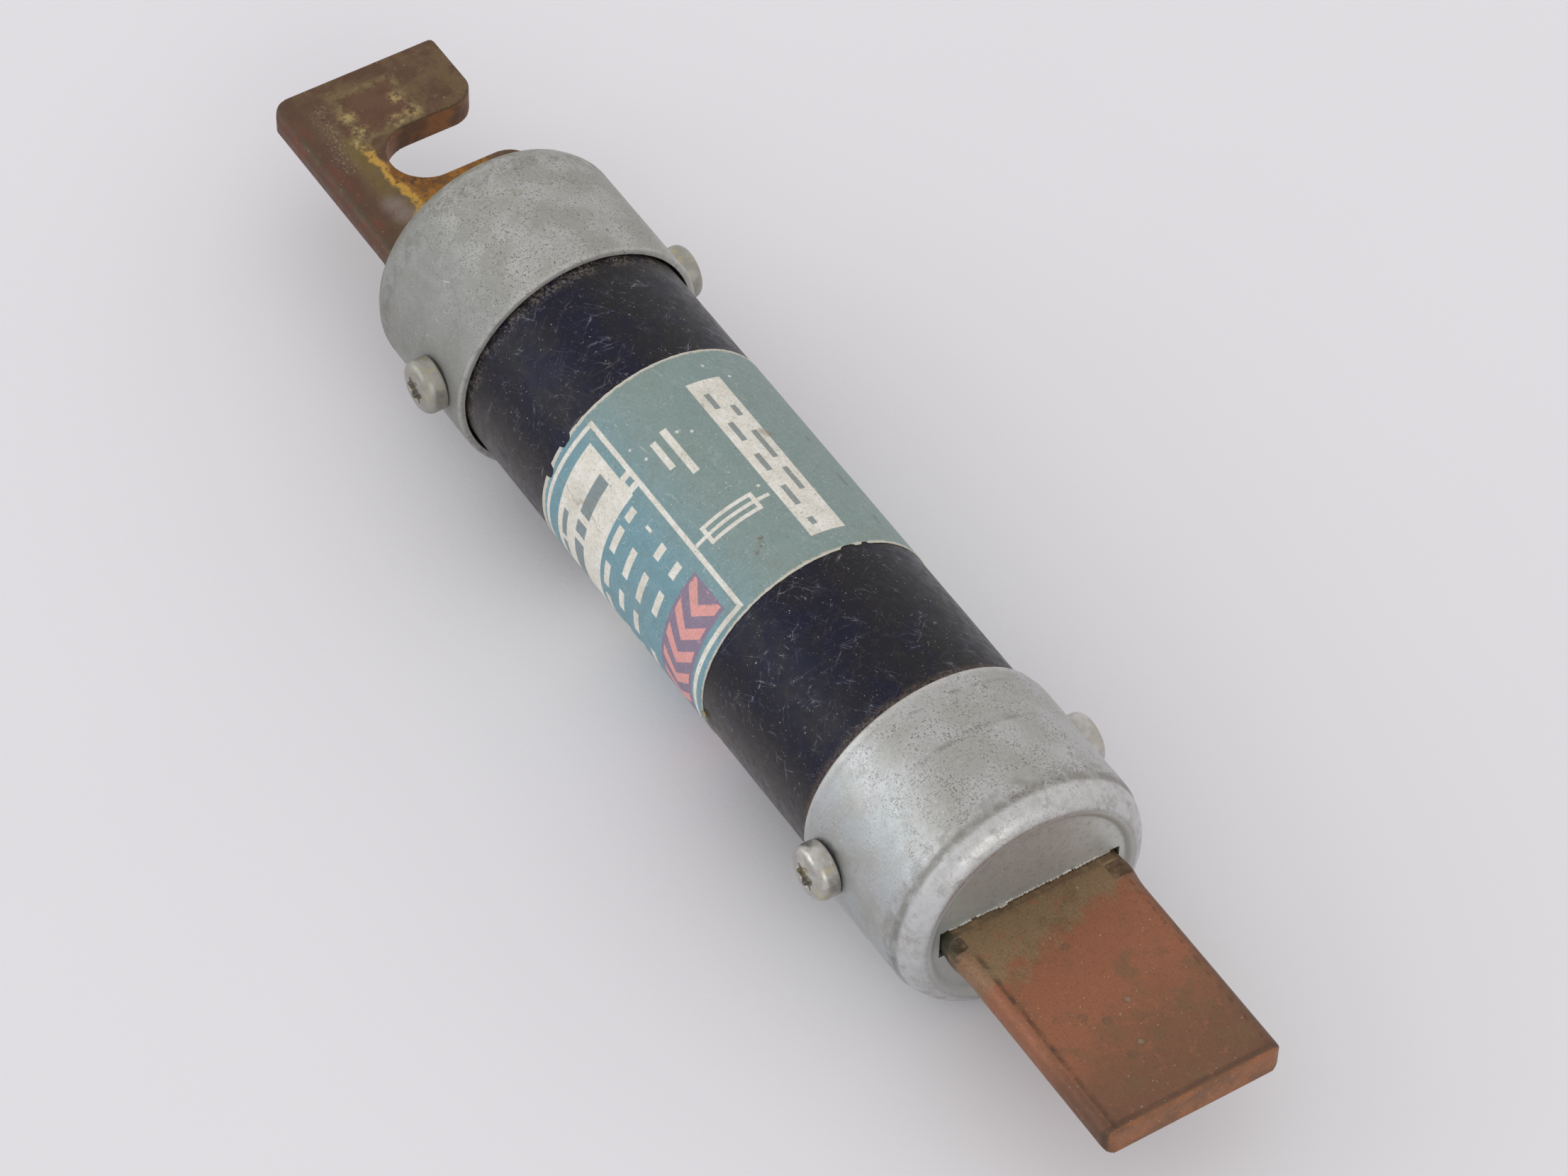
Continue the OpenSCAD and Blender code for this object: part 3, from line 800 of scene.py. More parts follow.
def zinc_material(name, light, dark, grime_and_shade, end, rim, dull):
    """Dull zinc plate on a drawn cap. dull is 0 for the cleaner cap and 1 for the worn one."""
    p = Paint(name)
    fine = p.noise(4.2, 3, 0.6)
    shifted = p.moved(7, 2, 5)
    p.colour = p.mix(p.noise(0.25, 4, 0.55).ramp(0.38, 0.64), dark, light)
    # Bluish light tint on turns 25 to 55: a painted reflection of the bluish window light.
    painted_blue_sheen = p.turn.ramp(25, 55) * p.noise(0.2, 3, 0.5, shifted).ramp(0.4, 0.6, 0.3, 1)
    p.lay((184, 193, 198), painted_blue_sheen * (0.5 - 0.3 * dull))
    soft = p.noise(1.4, 5, 0.7).ramp(0.5, 0.7)
    p.lay(dark, soft * (0.25 + 0.1 * dull))
    top = abs(p.turn + 8).ramp(75, 25, 0.35, 1)
    zone = top * p.noise(0.5, 4, 0.6).ramp(0.4 - 0.05 * dull, 0.6 - 0.05 * dull, 0.25, 1)
    # The worn cap's side from turn 18 to 50 is darkened: painted shade.
    painted_flank = p.turn.ramp(18, 50) * (0.6 * dull)
    p.lay((132, 133, 129), painted_flank)
    pits = fine.ramp(0.53 + 0.02 * dull, 0.64) * zone
    p.lay(grime_and_shade, pits * (0.6 - 0.1 * dull))
    deep = p.noise(5.2, 2, 0.5, shifted).ramp(0.61, 0.67) * zone
    p.lay((78, 74, 68), deep * 0.75)
    bright = p.noise(3.6, 3, 0.65).ramp(0.6, 0.7)
    p.lay((226, 226, 224), bright * (0.4 - 0.15 * dull))
    smudge = p.noise(0.33, 5, 0.7, shifted).ramp(0.57, 0.72)
    p.lay((146, 138, 118), smudge * (0.2 + 0.2 * dull))
    side = -1 if end < 0 else 1
    inward = (p.x - end) * -side
    crease = CAP_LENGTH - CREASE
    # Darker at the crease and on the sloped band past it: painted shade, in the same colour as the
    # pits' dirt.
    crease_shade = inward.band(crease - 0.4, crease + 0.35, 0.3)
    crease_shade = crease_shade * (1 - 0.8 * dull) * p.noise(0.7, 4).ramp(0.34, 0.6, 0.2, 1)
    slope_shade = inward.band(crease + 0.2, crease + 1.6, 0.5)
    slope_shade = slope_shade * p.noise(0.9, 4, 0.65).ramp(0.4, 0.6)
    p.lay(grime_and_shade, slope_shade * 0.3)
    p.lay(grime_and_shade, crease_shade * 0.55)
    bead = inward.band(0, crease - 0.5, 0.25) * p.radius.ramp(11.2, 11.7)
    # A pale band on the near cap's bead: a painted highlight. The same mask also makes the bead
    # smoother.
    polish_and_highlight = bead * (1 - dull) * p.noise(1, 4, 0.6).ramp(0.3, 0.6, 0.4, 1)
    p.lay((216, 216, 216), polish_and_highlight * 0.6)
    dirty = bead * (1 - dull) * p.noise(0.6, 5, 0.7).ramp(0.52, 0.66)
    p.lay((128, 124, 114), dirty * 0.4)
    # A darker olive band on the worn cap's rounded end corner: stains and painted shade.
    edge = (inward + p.noise(0.5, 5, 0.7) * 1.6).band(0.2, 2.5, 0.7)
    stains_and_shade = p.noise(0.6, 5, 0.7, shifted).ramp(0.36, 0.62, 0.3, 0.8)
    p.lay((122, 119, 102), edge * p.radius.ramp(11.2, 12) * dull * stains_and_shade)
    dish = inward.ramp(1, 0.2) * p.radius.ramp(10.75, 10.2, 0, 1)
    fillet = inward.ramp(1, 0.2) * p.radius.band(10.4, 11.2, 0.15)
    # The dish's grey is painted lighter towards +Y and darker towards -Y: painted light and shade.
    inner = p.mix(p.y.ramp(-4, 9), (173, 178, 173), (210, 215, 211))
    p.lay(p.mix(soft * 0.6, inner, (150, 149, 140)), dish * 0.9)
    p.lay((184, 186, 182), fillet * 0.55)
    rim_gap = abs(p.x - rim)
    wear = rim_gap.ramp(1.3 - 0.8 * dull, 0.1) * p.noise(1.2, 3).ramp(0.3, 0.55)
    p.lay((216, 214, 208), wear * (0.45 - 0.15 * dull))
    rubs = p.noise(1.4, 3, 0.6, p.vector("MULTIPLY", p.flat, (1, 0.14, 1)))
    lines = p.most(p.x.band(33.2, 33.6, 0.15), p.x.band(37.9, 38.4, 0.2))
    rubbed = lines * p.turn.band(-30, 25, 8) * p.noise(0.8, 4).ramp(0.4, 0.55)
    p.lay(grime_and_shade, rubs.ramp(0.6, 0.72) * 0.18)
    p.lay(grime_and_shade, rubbed * 0.4)
    nicks = p.scratches(25, 2.4, 0.3, 17, 0.62)
    p.lay((222, 222, 222), nicks * 0.35)
    roughness = p.noise(0.9, 4, 0.6).ramp(0.3, 0.7, 0.38 + 0.16 * dull, 0.5 + 0.16 * dull)
    roughness = roughness - polish_and_highlight * 0.12
    metal = 0.85 - 0.3 * dull - p.most(dish, fillet) * 0.5
    height = fine * 0.35 + soft * 0.3
    height = height - p.most(pits, deep) * 0.4
    return p.finish(roughness, height, 0.03 + 0.01 * dull, metal)


def tube_material():
    """Varnished dark fibre, scuffed and dusty."""
    p = Paint("varnished_fibre", 0, 0.2)
    shifted = p.moved(3, 6, 9)
    # The navy band on turns 5 to 66 is painted shade with a bluish painted reflection; the
    # scattered navy patches are the fibre's own tone.
    navy_tone_and_shade = p.noise(0.2, 3, 0.6).ramp(0.4, 0.6, 0.3, 1) * p.turn.band(5, 66, 9)
    navy_tone_and_shade = p.most(navy_tone_and_shade, p.noise(0.3, 3, 0.6, shifted).ramp(0.52, 0.66) * 0.6)
    p.colour = p.mix(navy_tone_and_shade, (29, 27, 30), (18, 19, 42))
    patches = p.noise(0.35, 4, 0.65, shifted).ramp(0.44, 0.66, 0.08, 1)
    scuffs = p.most(p.scratches(35, 2.8, 0.42, 1, 0.54), p.scratches(-50, 2, 0.36, 7, 0.55),
        p.scratches(80, 3.4, 0.4, 13, 0.56), p.scratches(5, 1.5, 0.3, 29, 0.58))
    p.lay((138, 138, 150), scuffs * patches * 0.7)
    scrape = p.noise(2.8, 4, 0.75, p.vector("MULTIPLY", p.place, (1, 0.5, 0.5))).ramp(0.6, 0.7)
    p.lay((96, 95, 106), scrape * patches * 0.4)
    flecks = p.noise(4.4, 2, 0.5).ramp(0.69, 0.73)
    p.lay((176, 172, 168), flecks * p.noise(0.6, 2).ramp(0.4, 0.6, 0.2, 1) * 0.75)
    # The film is the varnish's dusty film. The sides past turn 62 get a lighter grey too: a
    # painted reflection of the floor.
    film = p.noise(1.3, 5, 0.7).ramp(0.5, 0.8) * 0.12
    painted_flank = abs(p.turn).ramp(62, 100, 0, 0.2)
    p.lay((122, 116, 112), film + painted_flank)
    grit = p.noise(3.5, 4, 0.7)
    near_rim = p.x.ramp(29.8, 31.1)
    far_rim = p.x.ramp(-28.2, -29.6)
    dust = near_rim * grit.ramp(0.35, 0.62)
    p.lay((122, 102, 84), dust * 0.7)
    chalk = far_rim * grit.ramp(0.42, 0.64) * p.noise(0.5, 3).ramp(0.38, 0.55, 0.25, 1)
    p.lay((140, 130, 118), chalk * 0.6)
    roughness = p.noise(0.8, 4, 0.6).ramp(0.35, 0.7, 0.3, 0.46)
    roughness = p.most(roughness, p.most(scuffs, dust) * 0.7)
    height = p.noise(1.1, 5, 0.6) - scuffs * 0.25
    return p.finish(roughness, height, 0.03)


def dashes(p, x_low, x_high, turn_low, turn_high, pitch, seed, along_axis=False, keep=0.15):
    """A row of plain bars of uneven length, round the tube or along it."""
    way = p.x if along_axis else p.arc
    place = way / pitch + 0.37 * seed
    luck = p.node("ShaderNodeTexWhiteNoise", "Value", {"W": p.math("FLOOR", place) + seed},
        noise_dimensions="1D")
    step = p.math("FRACT", place)
    end = 0.5 + luck * 0.42
    soft = 0.05 / pitch
    body = step.ramp(0.08 - soft, 0.08 + soft) * (step - end).ramp(-soft, soft, 1, 0)
    kept = luck.ramp(keep, keep + 0.01)
    return p.rectangle(x_low, x_high, turn_low, turn_high, 0.05) * kept * body


def fuse_sign(p, x, turn):
    """The drawing-office sign for a fuse: a box with a line through it."""
    wide, tall = 13.5, 1.15
    outer = p.rectangle(x - tall, x + tall, turn - wide, turn + wide)
    hollow = p.rectangle(x - tall + 0.42, x + tall - 0.42, turn - wide + 2, turn + wide - 2)
    line = p.rectangle(x - 0.2, x + 0.2, turn - wide - 6, turn + wide + 6)
    return p.most(outer - hollow, line)


def frame_lines(p):
    """The thin printed frame, open towards the back of the label."""
    across = p.rectangle(-14.6, 12.3, 38.6, 41)
    back = p.rectangle(-14.6, 12.3, 166, 168.4)
    lean = p.x + p.turn.ramp(40, 95, 0, 0.45)
    turns = p.turn.band(39, 168, 0.3)
    left = lean.band(-14.6, -14.1, 0.06) * turns
    right = lean.band(11.75, 12.3, 0.06) * turns
    return p.most(across, back, left, right)


def arrow_band(p):
    """Plain chevrons along the plum band."""
    middle = abs(p.x - 8.3)
    lean = p.arc + middle * 0.9
    step = p.math("FRACT", lean / 2.9)
    return step.band(0.14, 0.62, 0.03) * p.rectangle(6.1, 10.5, 47, 163)


def label_print(p):
    """The label's ground colours and its print. Every mark on it is a plain shape."""
    # Bluer teal towards turn 60: painted bluish window light.
    painted_blue_light = p.turn.ramp(18, 60)
    teal = p.mix(painted_blue_light, (134, 151, 147), (118, 155, 166))
    blotch = p.noise(0.6, 5, 0.65).ramp(0.4, 0.66)
    teal = p.mix(blotch * 0.55, teal, p.mix(painted_blue_light, (124, 145, 141), (104, 142, 152)))
    pale = p.noise(0.9, 5, 0.7, p.moved(5, 1, 8)).ramp(0.54, 0.7)
    teal = p.mix(pale * 0.4, teal, (158, 172, 168))
    cream = p.mix(p.noise(0.7, 4).ramp(0.4, 0.7), (226, 221, 208), (236, 233, 225))
    panel = p.rectangle(-13, -5.3, 45.5, 158)
    tab = p.rectangle(-7.7, -5.5, 40, 47)
    notch = p.rectangle(-7, -6.2, 40.5, 44.6)
    panel = p.math("MAXIMUM", panel, tab - notch)
    window = p.rectangle(-11.6, 10.4, -20.5, -3)
    lines = p.most(dashes(p, -4.6, -3.7, 49, 152, 4.4, 3), dashes(p, -1.9, -1, 49, 152, 5.2, 31),
        dashes(p, 0.7, 1.6, 49, 152, 4.8, 57), dashes(p, 3.4, 4.3, 49, 128, 3.9, 93))
    bars = p.most(p.rectangle(-8.4, -2.3, 16.2, 19.6), p.rectangle(-7.9, -4.2, 23.2, 26.2))
    white = p.most(frame_lines(p), panel, window, lines, bars, fuse_sign(p, 4, 19))
    worn = p.noise(3.2, 4, 0.7).ramp(0.3, 0.42, 0.35, 1)
    p.colour = p.mix(white * worn, teal, cream)
    p.lay((140, 120, 142), p.rectangle(5.7, 11, 46, 164) * 0.95)
    p.lay((228, 160, 154), arrow_band(p) * worn)
    rating = p.most(p.rectangle(-9.9, -8.3, 51, 72), p.rectangle(-9.9, -8.3, 76, 83),
        p.rectangle(-9.9, -8.3, 87, 112), dashes(p, -12.2, -11.4, 78, 128, 4.2, 8))
    p.lay((100, 120, 128), rating * worn * 0.85)
    small = p.most(dashes(p, -9.8, 9.2, -9.8, -7, 4.6, 17, True, 0.1),
        dashes(p, -7.6, 8.2, -16.9, -14.1, 5.4, 40, True, 0.2))
    p.lay((104, 118, 121), small * worn * 0.8)
    stamp = dashes(p, -3, 10, -44.5, -42, 3.1, 71, True, 0.3)
    p.lay((84, 100, 104), stamp * worn * 0.45)


def label_material():
    """Faded matt paper with cream print, scuffed to the pulp at its edges."""
    p = Paint("faded_paper", 0, 0.35)
    label_print(p)
    grain = p.noise(3.6, 4, 0.7)
    p.lay((92, 114, 114), grain.ramp(0.4, 0.7, 0, 0.24))
    speck = p.noise(5, 3, 0.6).ramp(0.63, 0.69) * p.noise(0.4, 2).ramp(0.38, 0.6)
    p.lay((220, 220, 212), speck * 0.7)
    dots = p.noise(5, 3, 0.6, p.moved(9, 0, 4)).ramp(0.64, 0.69)
    p.lay((74, 82, 82), dots * 0.65)
    soil = p.noise(0.3, 5, 0.65).ramp(0.5, 0.75) * 0.25
    p.lay((134, 132, 118), soil)
    scuff = p.most(p.scratches(15, 2.6, 0.3, 21, 0.6), p.scratches(100, 2.4, 0.3, 5, 0.62))
    p.lay((210, 210, 200), scuff * 0.35)
    rub = p.spots([(8.5, -3.7, 12.05), (7.9, -3.3, 12.2), (8.9, -4.3, 11.9)], 0.3, 0.18)
    p.lay((112, 96, 84), rub * grain.ramp(0.4, 0.6) * 0.85)
    stain = p.spots([(-3.5, 4.1, 11.9), (-3.1, 4.4, 11.8)], 0.45, 0.3)
    p.lay((138, 116, 92), stain * 0.5)
    crack = p.x.band(-14, -6, 0.5) * abs(p.turn - (60 + p.noise(0.5, 3) * 18)).ramp(1, 0.3)
    p.lay((126, 112, 92), crack * 0.3)
    pale = p.spots([(-11.5, 5.5, 11.3), (-13.4, 3.7, 12.1), (2.6, -0.2, 12.6), (-6.5, -1.8, 12.5),
        (-7.3, -2.9, 12.2), (-7, -6.5, 10.8), (-9, -7.1, 10.5)], 0.16, 0.1)
    p.lay((226, 224, 216), pale * 0.9)
    edge_gap = p.math("MINIMUM", p.x - (LABEL_LOW.x + 0.5), LABEL_HIGH.x - 0.1 - p.x)
    torn = (edge_gap + p.noise(2.2, 3) * -0.5).ramp(0.12, -0.12)
    p.lay((208, 200, 184), torn * 0.85)
    roughness = p.noise(2, 3).ramp(0.3, 0.7, 0.48, 0.64)
    height = p.noise(3, 5, 0.65) * 0.7 + grain * 0.4
    return p.finish(roughness, height, 0.04)


def copper_material():
    """The plain blade: orange-red copper under olive-brown tarnish."""
    p = Paint("tarnished_copper", 0.4)
    wander = (p.noise(0.28, 5, 0.6) - 0.5) * 9
    inner = p.x + p.y * 0.2 + wander
    p.colour = p.mix(inner.ramp(52.8, 55), (140, 115, 85), (150, 96, 68))
    tipward = p.x + p.y * 0.25 + wander
    p.lay((116, 82, 60), tipward.ramp(61, 71, 0, 0.9))
    p.lay((114, 90, 62), p.noise(0.35, 5, 0.62).ramp(0.5, 0.66, 0, 0.55))
    p.lay((160, 102, 72), p.noise(0.6, 4, 0.6, warp=0.4).ramp(0.56, 0.7, 0, 0.55))
    side = abs(p.y)
    rolled = p.y.ramp(-8.3, -8.8) * p.x.band(50.8, 66, 1.2)
    p.lay((138, 92, 68), rolled * 0.4)
    shaded = side.ramp(8.4, 8.9) * p.most(p.y.ramp(-1, 1), p.x.ramp(63, 68))
    p.lay((88, 62, 46), shaded * 0.55)
    broken = p.noise(0.6, 4).ramp(0.36, 0.6, 0.2, 1)
    near_line = p.y.ramp(-8.55, -8.35) * p.y.ramp(-7.7, -8.2) * broken * p.x.ramp(51.5, 53)
    far_line = p.y.band(8.2, 8.5, 0.15) * p.noise(0.6, 3).ramp(0.4, 0.6)
    p.lay((74, 52, 38), near_line * 0.75)
    p.lay((74, 54, 40), far_line * 0.5)
    corner = p.x.ramp(71.5, 74) * side.ramp(4.5, 9) * 0.35
    p.lay((80, 56, 42), corner)
    tip = p.x.ramp(BLADE_TIP - 0.4, BLADE_TIP - 0.15)
    worn = p.noise(0.9, 4).ramp(0.3, 0.5, 0.4, 1)
    p.lay((74, 54, 42), p.x.band(BLADE_TIP - 0.95, BLADE_TIP - 0.4, 0.2) * worn * 0.55)
    p.lay(p.mix(p.noise(0.5, 4).ramp(0.4, 0.6), (158, 104, 68), (130, 90, 62)), tip * 0.8)
    top = BLADE_HALF
    marks = [(63.1, 0.5, top), (67.6, -1.1, top), (68.4, -2.5, top), (62.8, -4, top),
        (64.2, -2.4, top), (55.4, -0.9, top), (61, 5.2, -top), (66, -3.4, -top)]
    ring = p.spots(marks, 0.46, 0.12) - p.spots(marks, 0.28, 0.15) * 0.5
    p.lay((88, 80, 60), ring * 0.5)
    pale = p.spots([(63.2, 0.6, top), (67.6, -1.1, top)], 0.25, 0.2)
    p.lay((150, 134, 112), pale * 0.6)
    grain = p.noise(4.5, 4, 0.7)
    p.lay((84, 62, 44), grain.ramp(0.5, 0.68, 0, 0.45))
    sand = grain.ramp(0.5, 0.38, 0, 0.16) * inner.ramp(55.5, 53)
    p.lay((170, 146, 112), sand)
    fleck = p.noise(3.6, 2, 0.5).ramp(0.71, 0.75)
    p.lay((200, 182, 162), fleck * 0.6)
    foot = p.x.ramp(NEAR_END + 1, NEAR_END - 0.3)
    p.lay((66, 56, 42), foot * p.noise(1.2, 3).ramp(0.3, 0.55) * 0.45)
    # Darker floor in the stake dents: painted shade.
    grime_and_shade = (p.x.band(NEAR_END + 0.3, NEAR_END + 2.4, 0.2) * side.ramp(6.9, 7.3)
        * p.z.ramp(BLADE_HALF - 0.1, BLADE_HALF - 0.35))
    p.lay((66, 50, 38), grime_and_shade * p.noise(1.5, 3).ramp(0.35, 0.6) * 0.6)
    verdigris = p.x.ramp(NEAR_END + 3, NEAR_END + 0.6) * p.y.ramp(-7.8, -9)
    p.lay((56, 60, 48), verdigris * p.noise(1, 3).ramp(0.3, 0.5) * 0.8)
    roughness = p.noise(1.2, 4, 0.6).ramp(0.3, 0.7, 0.44, 0.6)
    height = grain * 0.6 + p.noise(1.5, 4)
    return p.finish(roughness, height, 0.025)


def brown_copper_material():
    """The slotted blade: maroon-brown copper with an ochre crust round the slot."""
    p = Paint("corroded_copper", 0.3)
    top = p.z.ramp(0.9, 1.4)
    cloud = p.noise(0.3, 5, 0.62)
    p.colour = p.mix(cloud.ramp(0.4, 0.62), (106, 84, 53), (90, 60, 40))
    p.lay((84, 55, 33), p.noise(0.55, 4, 0.65).ramp(0.5, 0.66, 0, 0.65))
    low_side = (p.y + cloud * 3).ramp(-4.2, -6.6)
    p.lay((85, 58, 42), low_side * 0.8)
    ragged = p.noise(1.1, 5, 0.7, warp=0.6)
    wobble = (ragged - 0.5) * 5
    drift = (p.noise(0.3, 2) - 0.5) * 3 + (p.noise(2.2, 3) - 0.5) * 0.9
    streak = p.y + 4 + drift
    along = (p.x + wobble).band(-66.2, -46, 0.8)
    crust = p.noise(1.6, 5, 0.7).ramp(0.36, 0.52)
    olive = (streak + 2.2).ramp(-0.6, 0.6) * streak.ramp(0.4, -0.4) * along * top
    p.lay((114, 96, 46), olive * cloud.ramp(0.35, 0.55, 0.4, 1) * 0.8)
    bottom = p.vector("DISTANCE", p.place, (-SLOT_MIDDLE + 2.5, SLOT_BOTTOM - 1.2, BLADE_HALF))
    stem = p.x.ramp(-60.5, -57.5) * streak.ramp(-0.3, 0.5) * p.y.ramp(4, 1)
    rust = p.most((bottom + wobble).ramp(7, 5) * p.x.ramp(-62.5, -60) * streak.ramp(-0.8, 0.3),
        stem) * p.z.ramp(0.2, 1.2)
    p.lay(p.mix(p.noise(0.9, 4).ramp(0.4, 0.6), (164, 111, 38), (130, 84, 34)), rust * crust * 0.9)
    crest = (abs(streak).ramp(0.8, 0.2) * top * (p.x + wobble).band(-64, -46, 0.8)
        * p.noise(1.5, 4, 0.65).ramp(0.34, 0.46))
    p.lay((204, 160, 72), crest * 0.9)
    outline = box_outline(p, wobble)
    p.lay((132, 114, 76), outline * top * ragged.ramp(0.4, 0.6) * 0.7)
    inside_box = p.x.band(-71.5, -66.2, 0.6) * p.y.band(-2.8, 2.4, 0.6) * top
    p.lay((96, 58, 40), inside_box * 0.6)
    bright = p.spots([(x, y, BLADE_HALF) for x, y in ((-69, 2), (-66.5, 2.5), (-66.2, 0.6),
        (-69, -3.5), (-66.6, -3.4), (-65.3, -4.2))], 0.75, 0.75)
    p.lay((182, 160, 104), bright * p.noise(1.4, 5, 0.75).ramp(0.44, 0.58) * 0.85)
    lilac = p.spots([(-56, -5.6, BLADE_HALF), (-54.4, -5.4, BLADE_HALF)], 1.1, 0.9)
    p.lay((142, 128, 126), lilac * 0.55)
    trail = abs(p.y + p.x * 0.16 + 16.95).ramp(1.7, 0.1) * p.x.band(-72, -62, 0.8) * top
    p.lay((152, 142, 128), trail * p.noise(3.2, 4, 0.7).ramp(0.5, 0.64) * 0.5)
    red = p.y.ramp(-7, -8.4) * p.x.band(-72, -52, 2) * p.noise(0.5, 3).ramp(0.42, 0.6)
    p.lay((118, 60, 46), red * 0.4)
    wall = abs(p.x + SLOT_MIDDLE).ramp(7.6, 6.4) * p.y.ramp(-4, -2.9) * (1 - p.z.ramp(1.2, 1.45))
    p.lay(p.mix(p.noise(0.25, 4, 0.5).ramp(0.4, 0.6), (140, 88, 42), (96, 62, 38)), wall * 0.85)
    rim = p.z.band(1.25, 1.52, 0.08)
    p.lay((66, 62, 42), rim * p.noise(0.8, 3).ramp(0.35, 0.6, 0.3, 1) * 0.6)
    grain = p.noise(4.5, 4, 0.7)
    p.lay((56, 42, 30), grain.ramp(0.52, 0.7, 0, 0.45))
    fleck = p.noise(3.6, 2, 0.5).ramp(0.71, 0.75)
    p.lay((186, 172, 148), fleck * 0.55)
    roughness = p.noise(1, 4, 0.6).ramp(0.3, 0.7, 0.42, 0.6)
    roughness = p.most(roughness, p.most(crest, rust) * 0.8)
    height = grain * 0.5 + p.most(crest * 0.9, outline * 0.6)
    return p.finish(roughness, height, 0.035)


def box_outline(p, wobble):
    """The ragged rectangle that a clip left on the slotted blade's top."""
    across = abs(p.x + 68.8) - 3.4
    along = abs(p.y + 0.4) - 3.5
    gap = p.most(across, along) + wobble * 0.35
    return abs(gap).ramp(0.7, 0.1)


def metal_material(name, light, dark, roughness):
    """Plain worked metal with fine mottling."""
    p = Paint(name, 1)
    p.colour = p.mix(p.noise(1.5, 5, 0.62).ramp(0.35, 0.68), dark, light)
    specks = p.noise(6, 3, 0.6).ramp(0.62, 0.72)
    p.lay(dark, specks * 0.4)
    rough = p.noise(1.3, 4).ramp(0.3, 0.7, roughness - 0.06, roughness + 0.08)
    return p.finish(rough, p.noise(5, 4, 0.65), 0.01)


def screw_material():
    """Worn zinc on the screws, with dirt in the recess and painted shade round the seat."""
    p = Paint("worn_screw", 0.95)
    p.colour = p.mix(p.noise(0.7, 3, 0.55).ramp(0.38, 0.62), (176, 173, 166), (196, 194, 190))
    out = abs(p.y)
    middle = p.math("MINIMUM", abs(p.x - FAR_SCREW), abs(p.x - NEAR_SCREW))
    reach = p.math("SQRT", middle * middle + p.z * p.z)
    crown = CAP_RADIUS + HEAD_HEIGHT
    inside = reach.ramp(1.5, 1.2) * out.ramp(crown - 0.1, crown - 0.6)
    p.lay((150, 144, 134), inside * 0.25)
    # Darker at the foot of the head, by the cap: painted shade.
    seat = out.ramp(CAP_RADIUS + 0.45, CAP_RADIUS)
    p.lay((104, 98, 84), seat * 0.5)
    pits = p.noise(4.2, 4, 0.7).ramp(0.58, 0.68)
    p.lay((104, 100, 90), pits * 0.45)
    far = p.x.ramp(0, -10)
    p.lay((136, 134, 120), far * 0.5)
    yellow = p.noise(0.9, 2, 0.5, p.moved(3, 8, 1)).ramp(0.56, 0.66)
    p.lay((196, 182, 128), yellow * 0.35)
    roughness = p.noise(1.6, 3).ramp(0.35, 0.65, 0.24, 0.4)
    roughness = roughness + far * 0.1
    return p.finish(roughness, p.noise(3, 4, 0.65), 0.012, far.ramp(0, 1, 0.95, 0.8))


def soft_material(name, light, dark, scale=1, fine=6, depth=0.04):
    """Fibre, sealant or sand: a matt body with two sizes of grain."""
    p = Paint(name, 0, 0.35)
    p.colour = p.mix(p.noise(scale, 5, 0.6).ramp(0.35, 0.68), dark, light)
    grain = p.cells(fine)
    p.lay(dark, grain.ramp(0.3, 0.7, 0, 0.35))
    rough = p.noise(2, 3).ramp(0.3, 0.7, 0.74, 0.86)
    return p.finish(rough, p.noise(fine, 3) + grain, depth)


# ---- Stage, light and camera ---------------------------------------------

AIM = Vector((5.38, 1.16, 0)) * MM
VIEW_TURN = math.radians(-33.705)
VIEW_RISE = math.radians(49.024)
VIEW_DISTANCE = 570.3 * MM
VIEW_ROLL = math.radians(1.733)
LENS = 139.21


def facing(place, target):
    return (target - place).to_track_quat("-Z", "Y")


def direction(turn, rise):
    return Vector((math.cos(rise) * math.cos(turn), math.cos(rise) * math.sin(turn),
        math.sin(rise)))


def make_camera():
    camera = bpy.data.objects.new("camera", bpy.data.cameras.new("camera"))
    camera.data.lens = LENS
    camera.data.clip_end = 20
    camera.location = AIM + VIEW_DISTANCE * direction(VIEW_TURN, VIEW_RISE)
    camera.rotation_mode = "QUATERNION"
    roll = Quaternion((0, 0, 1), VIEW_ROLL)
    camera.rotation_quaternion = facing(camera.location, AIM) @ roll
    bpy.context.scene.collection.objects.link(camera)
    bpy.context.scene.camera = camera


def make_light(name, way, distance, size, power, colour):
    lamp = bpy.data.lights.new(name, "AREA")
    lamp.shape = "RECTANGLE"
    lamp.size, lamp.size_y = size
    lamp.energy = power
    lamp.color = colour
    light = bpy.data.objects.new(name, lamp)
    light.location = Vector(way).normalized() * distance
    light.rotation_mode = "QUATERNION"
    light.rotation_quaternion = facing(light.location, Vector((0, 0, 0)))
    bpy.context.scene.collection.objects.link(light)


def make_world():
    """Soft light from all round, a little darker overhead."""
    world = bpy.data.worlds.new("studio")
    bpy.context.scene.world = world
    world.use_nodes = True
    nodes, links = world.node_tree.nodes, world.node_tree.links
    split = nodes.new("ShaderNodeSeparateXYZ")
    links.new(nodes.new("ShaderNodeTexCoord").outputs["Generated"], split.inputs[0])
    fall = nodes.new("ShaderNodeMapRange")
    fall.interpolation_type = "SMOOTHSTEP"
    for name, value in (("From Min", 0.3), ("From Max", 0.95), ("To Min", 0.84), ("To Max", 0.81)):
        fall.inputs[name].default_value = value
    links.new(split.outputs["Z"], fall.inputs["Value"])
    background = nodes["Background"]
    background.inputs["Color"].default_value = (1.0, 0.985, 0.99, 1.0)
    links.new(fall.outputs["Result"], background.inputs["Strength"])


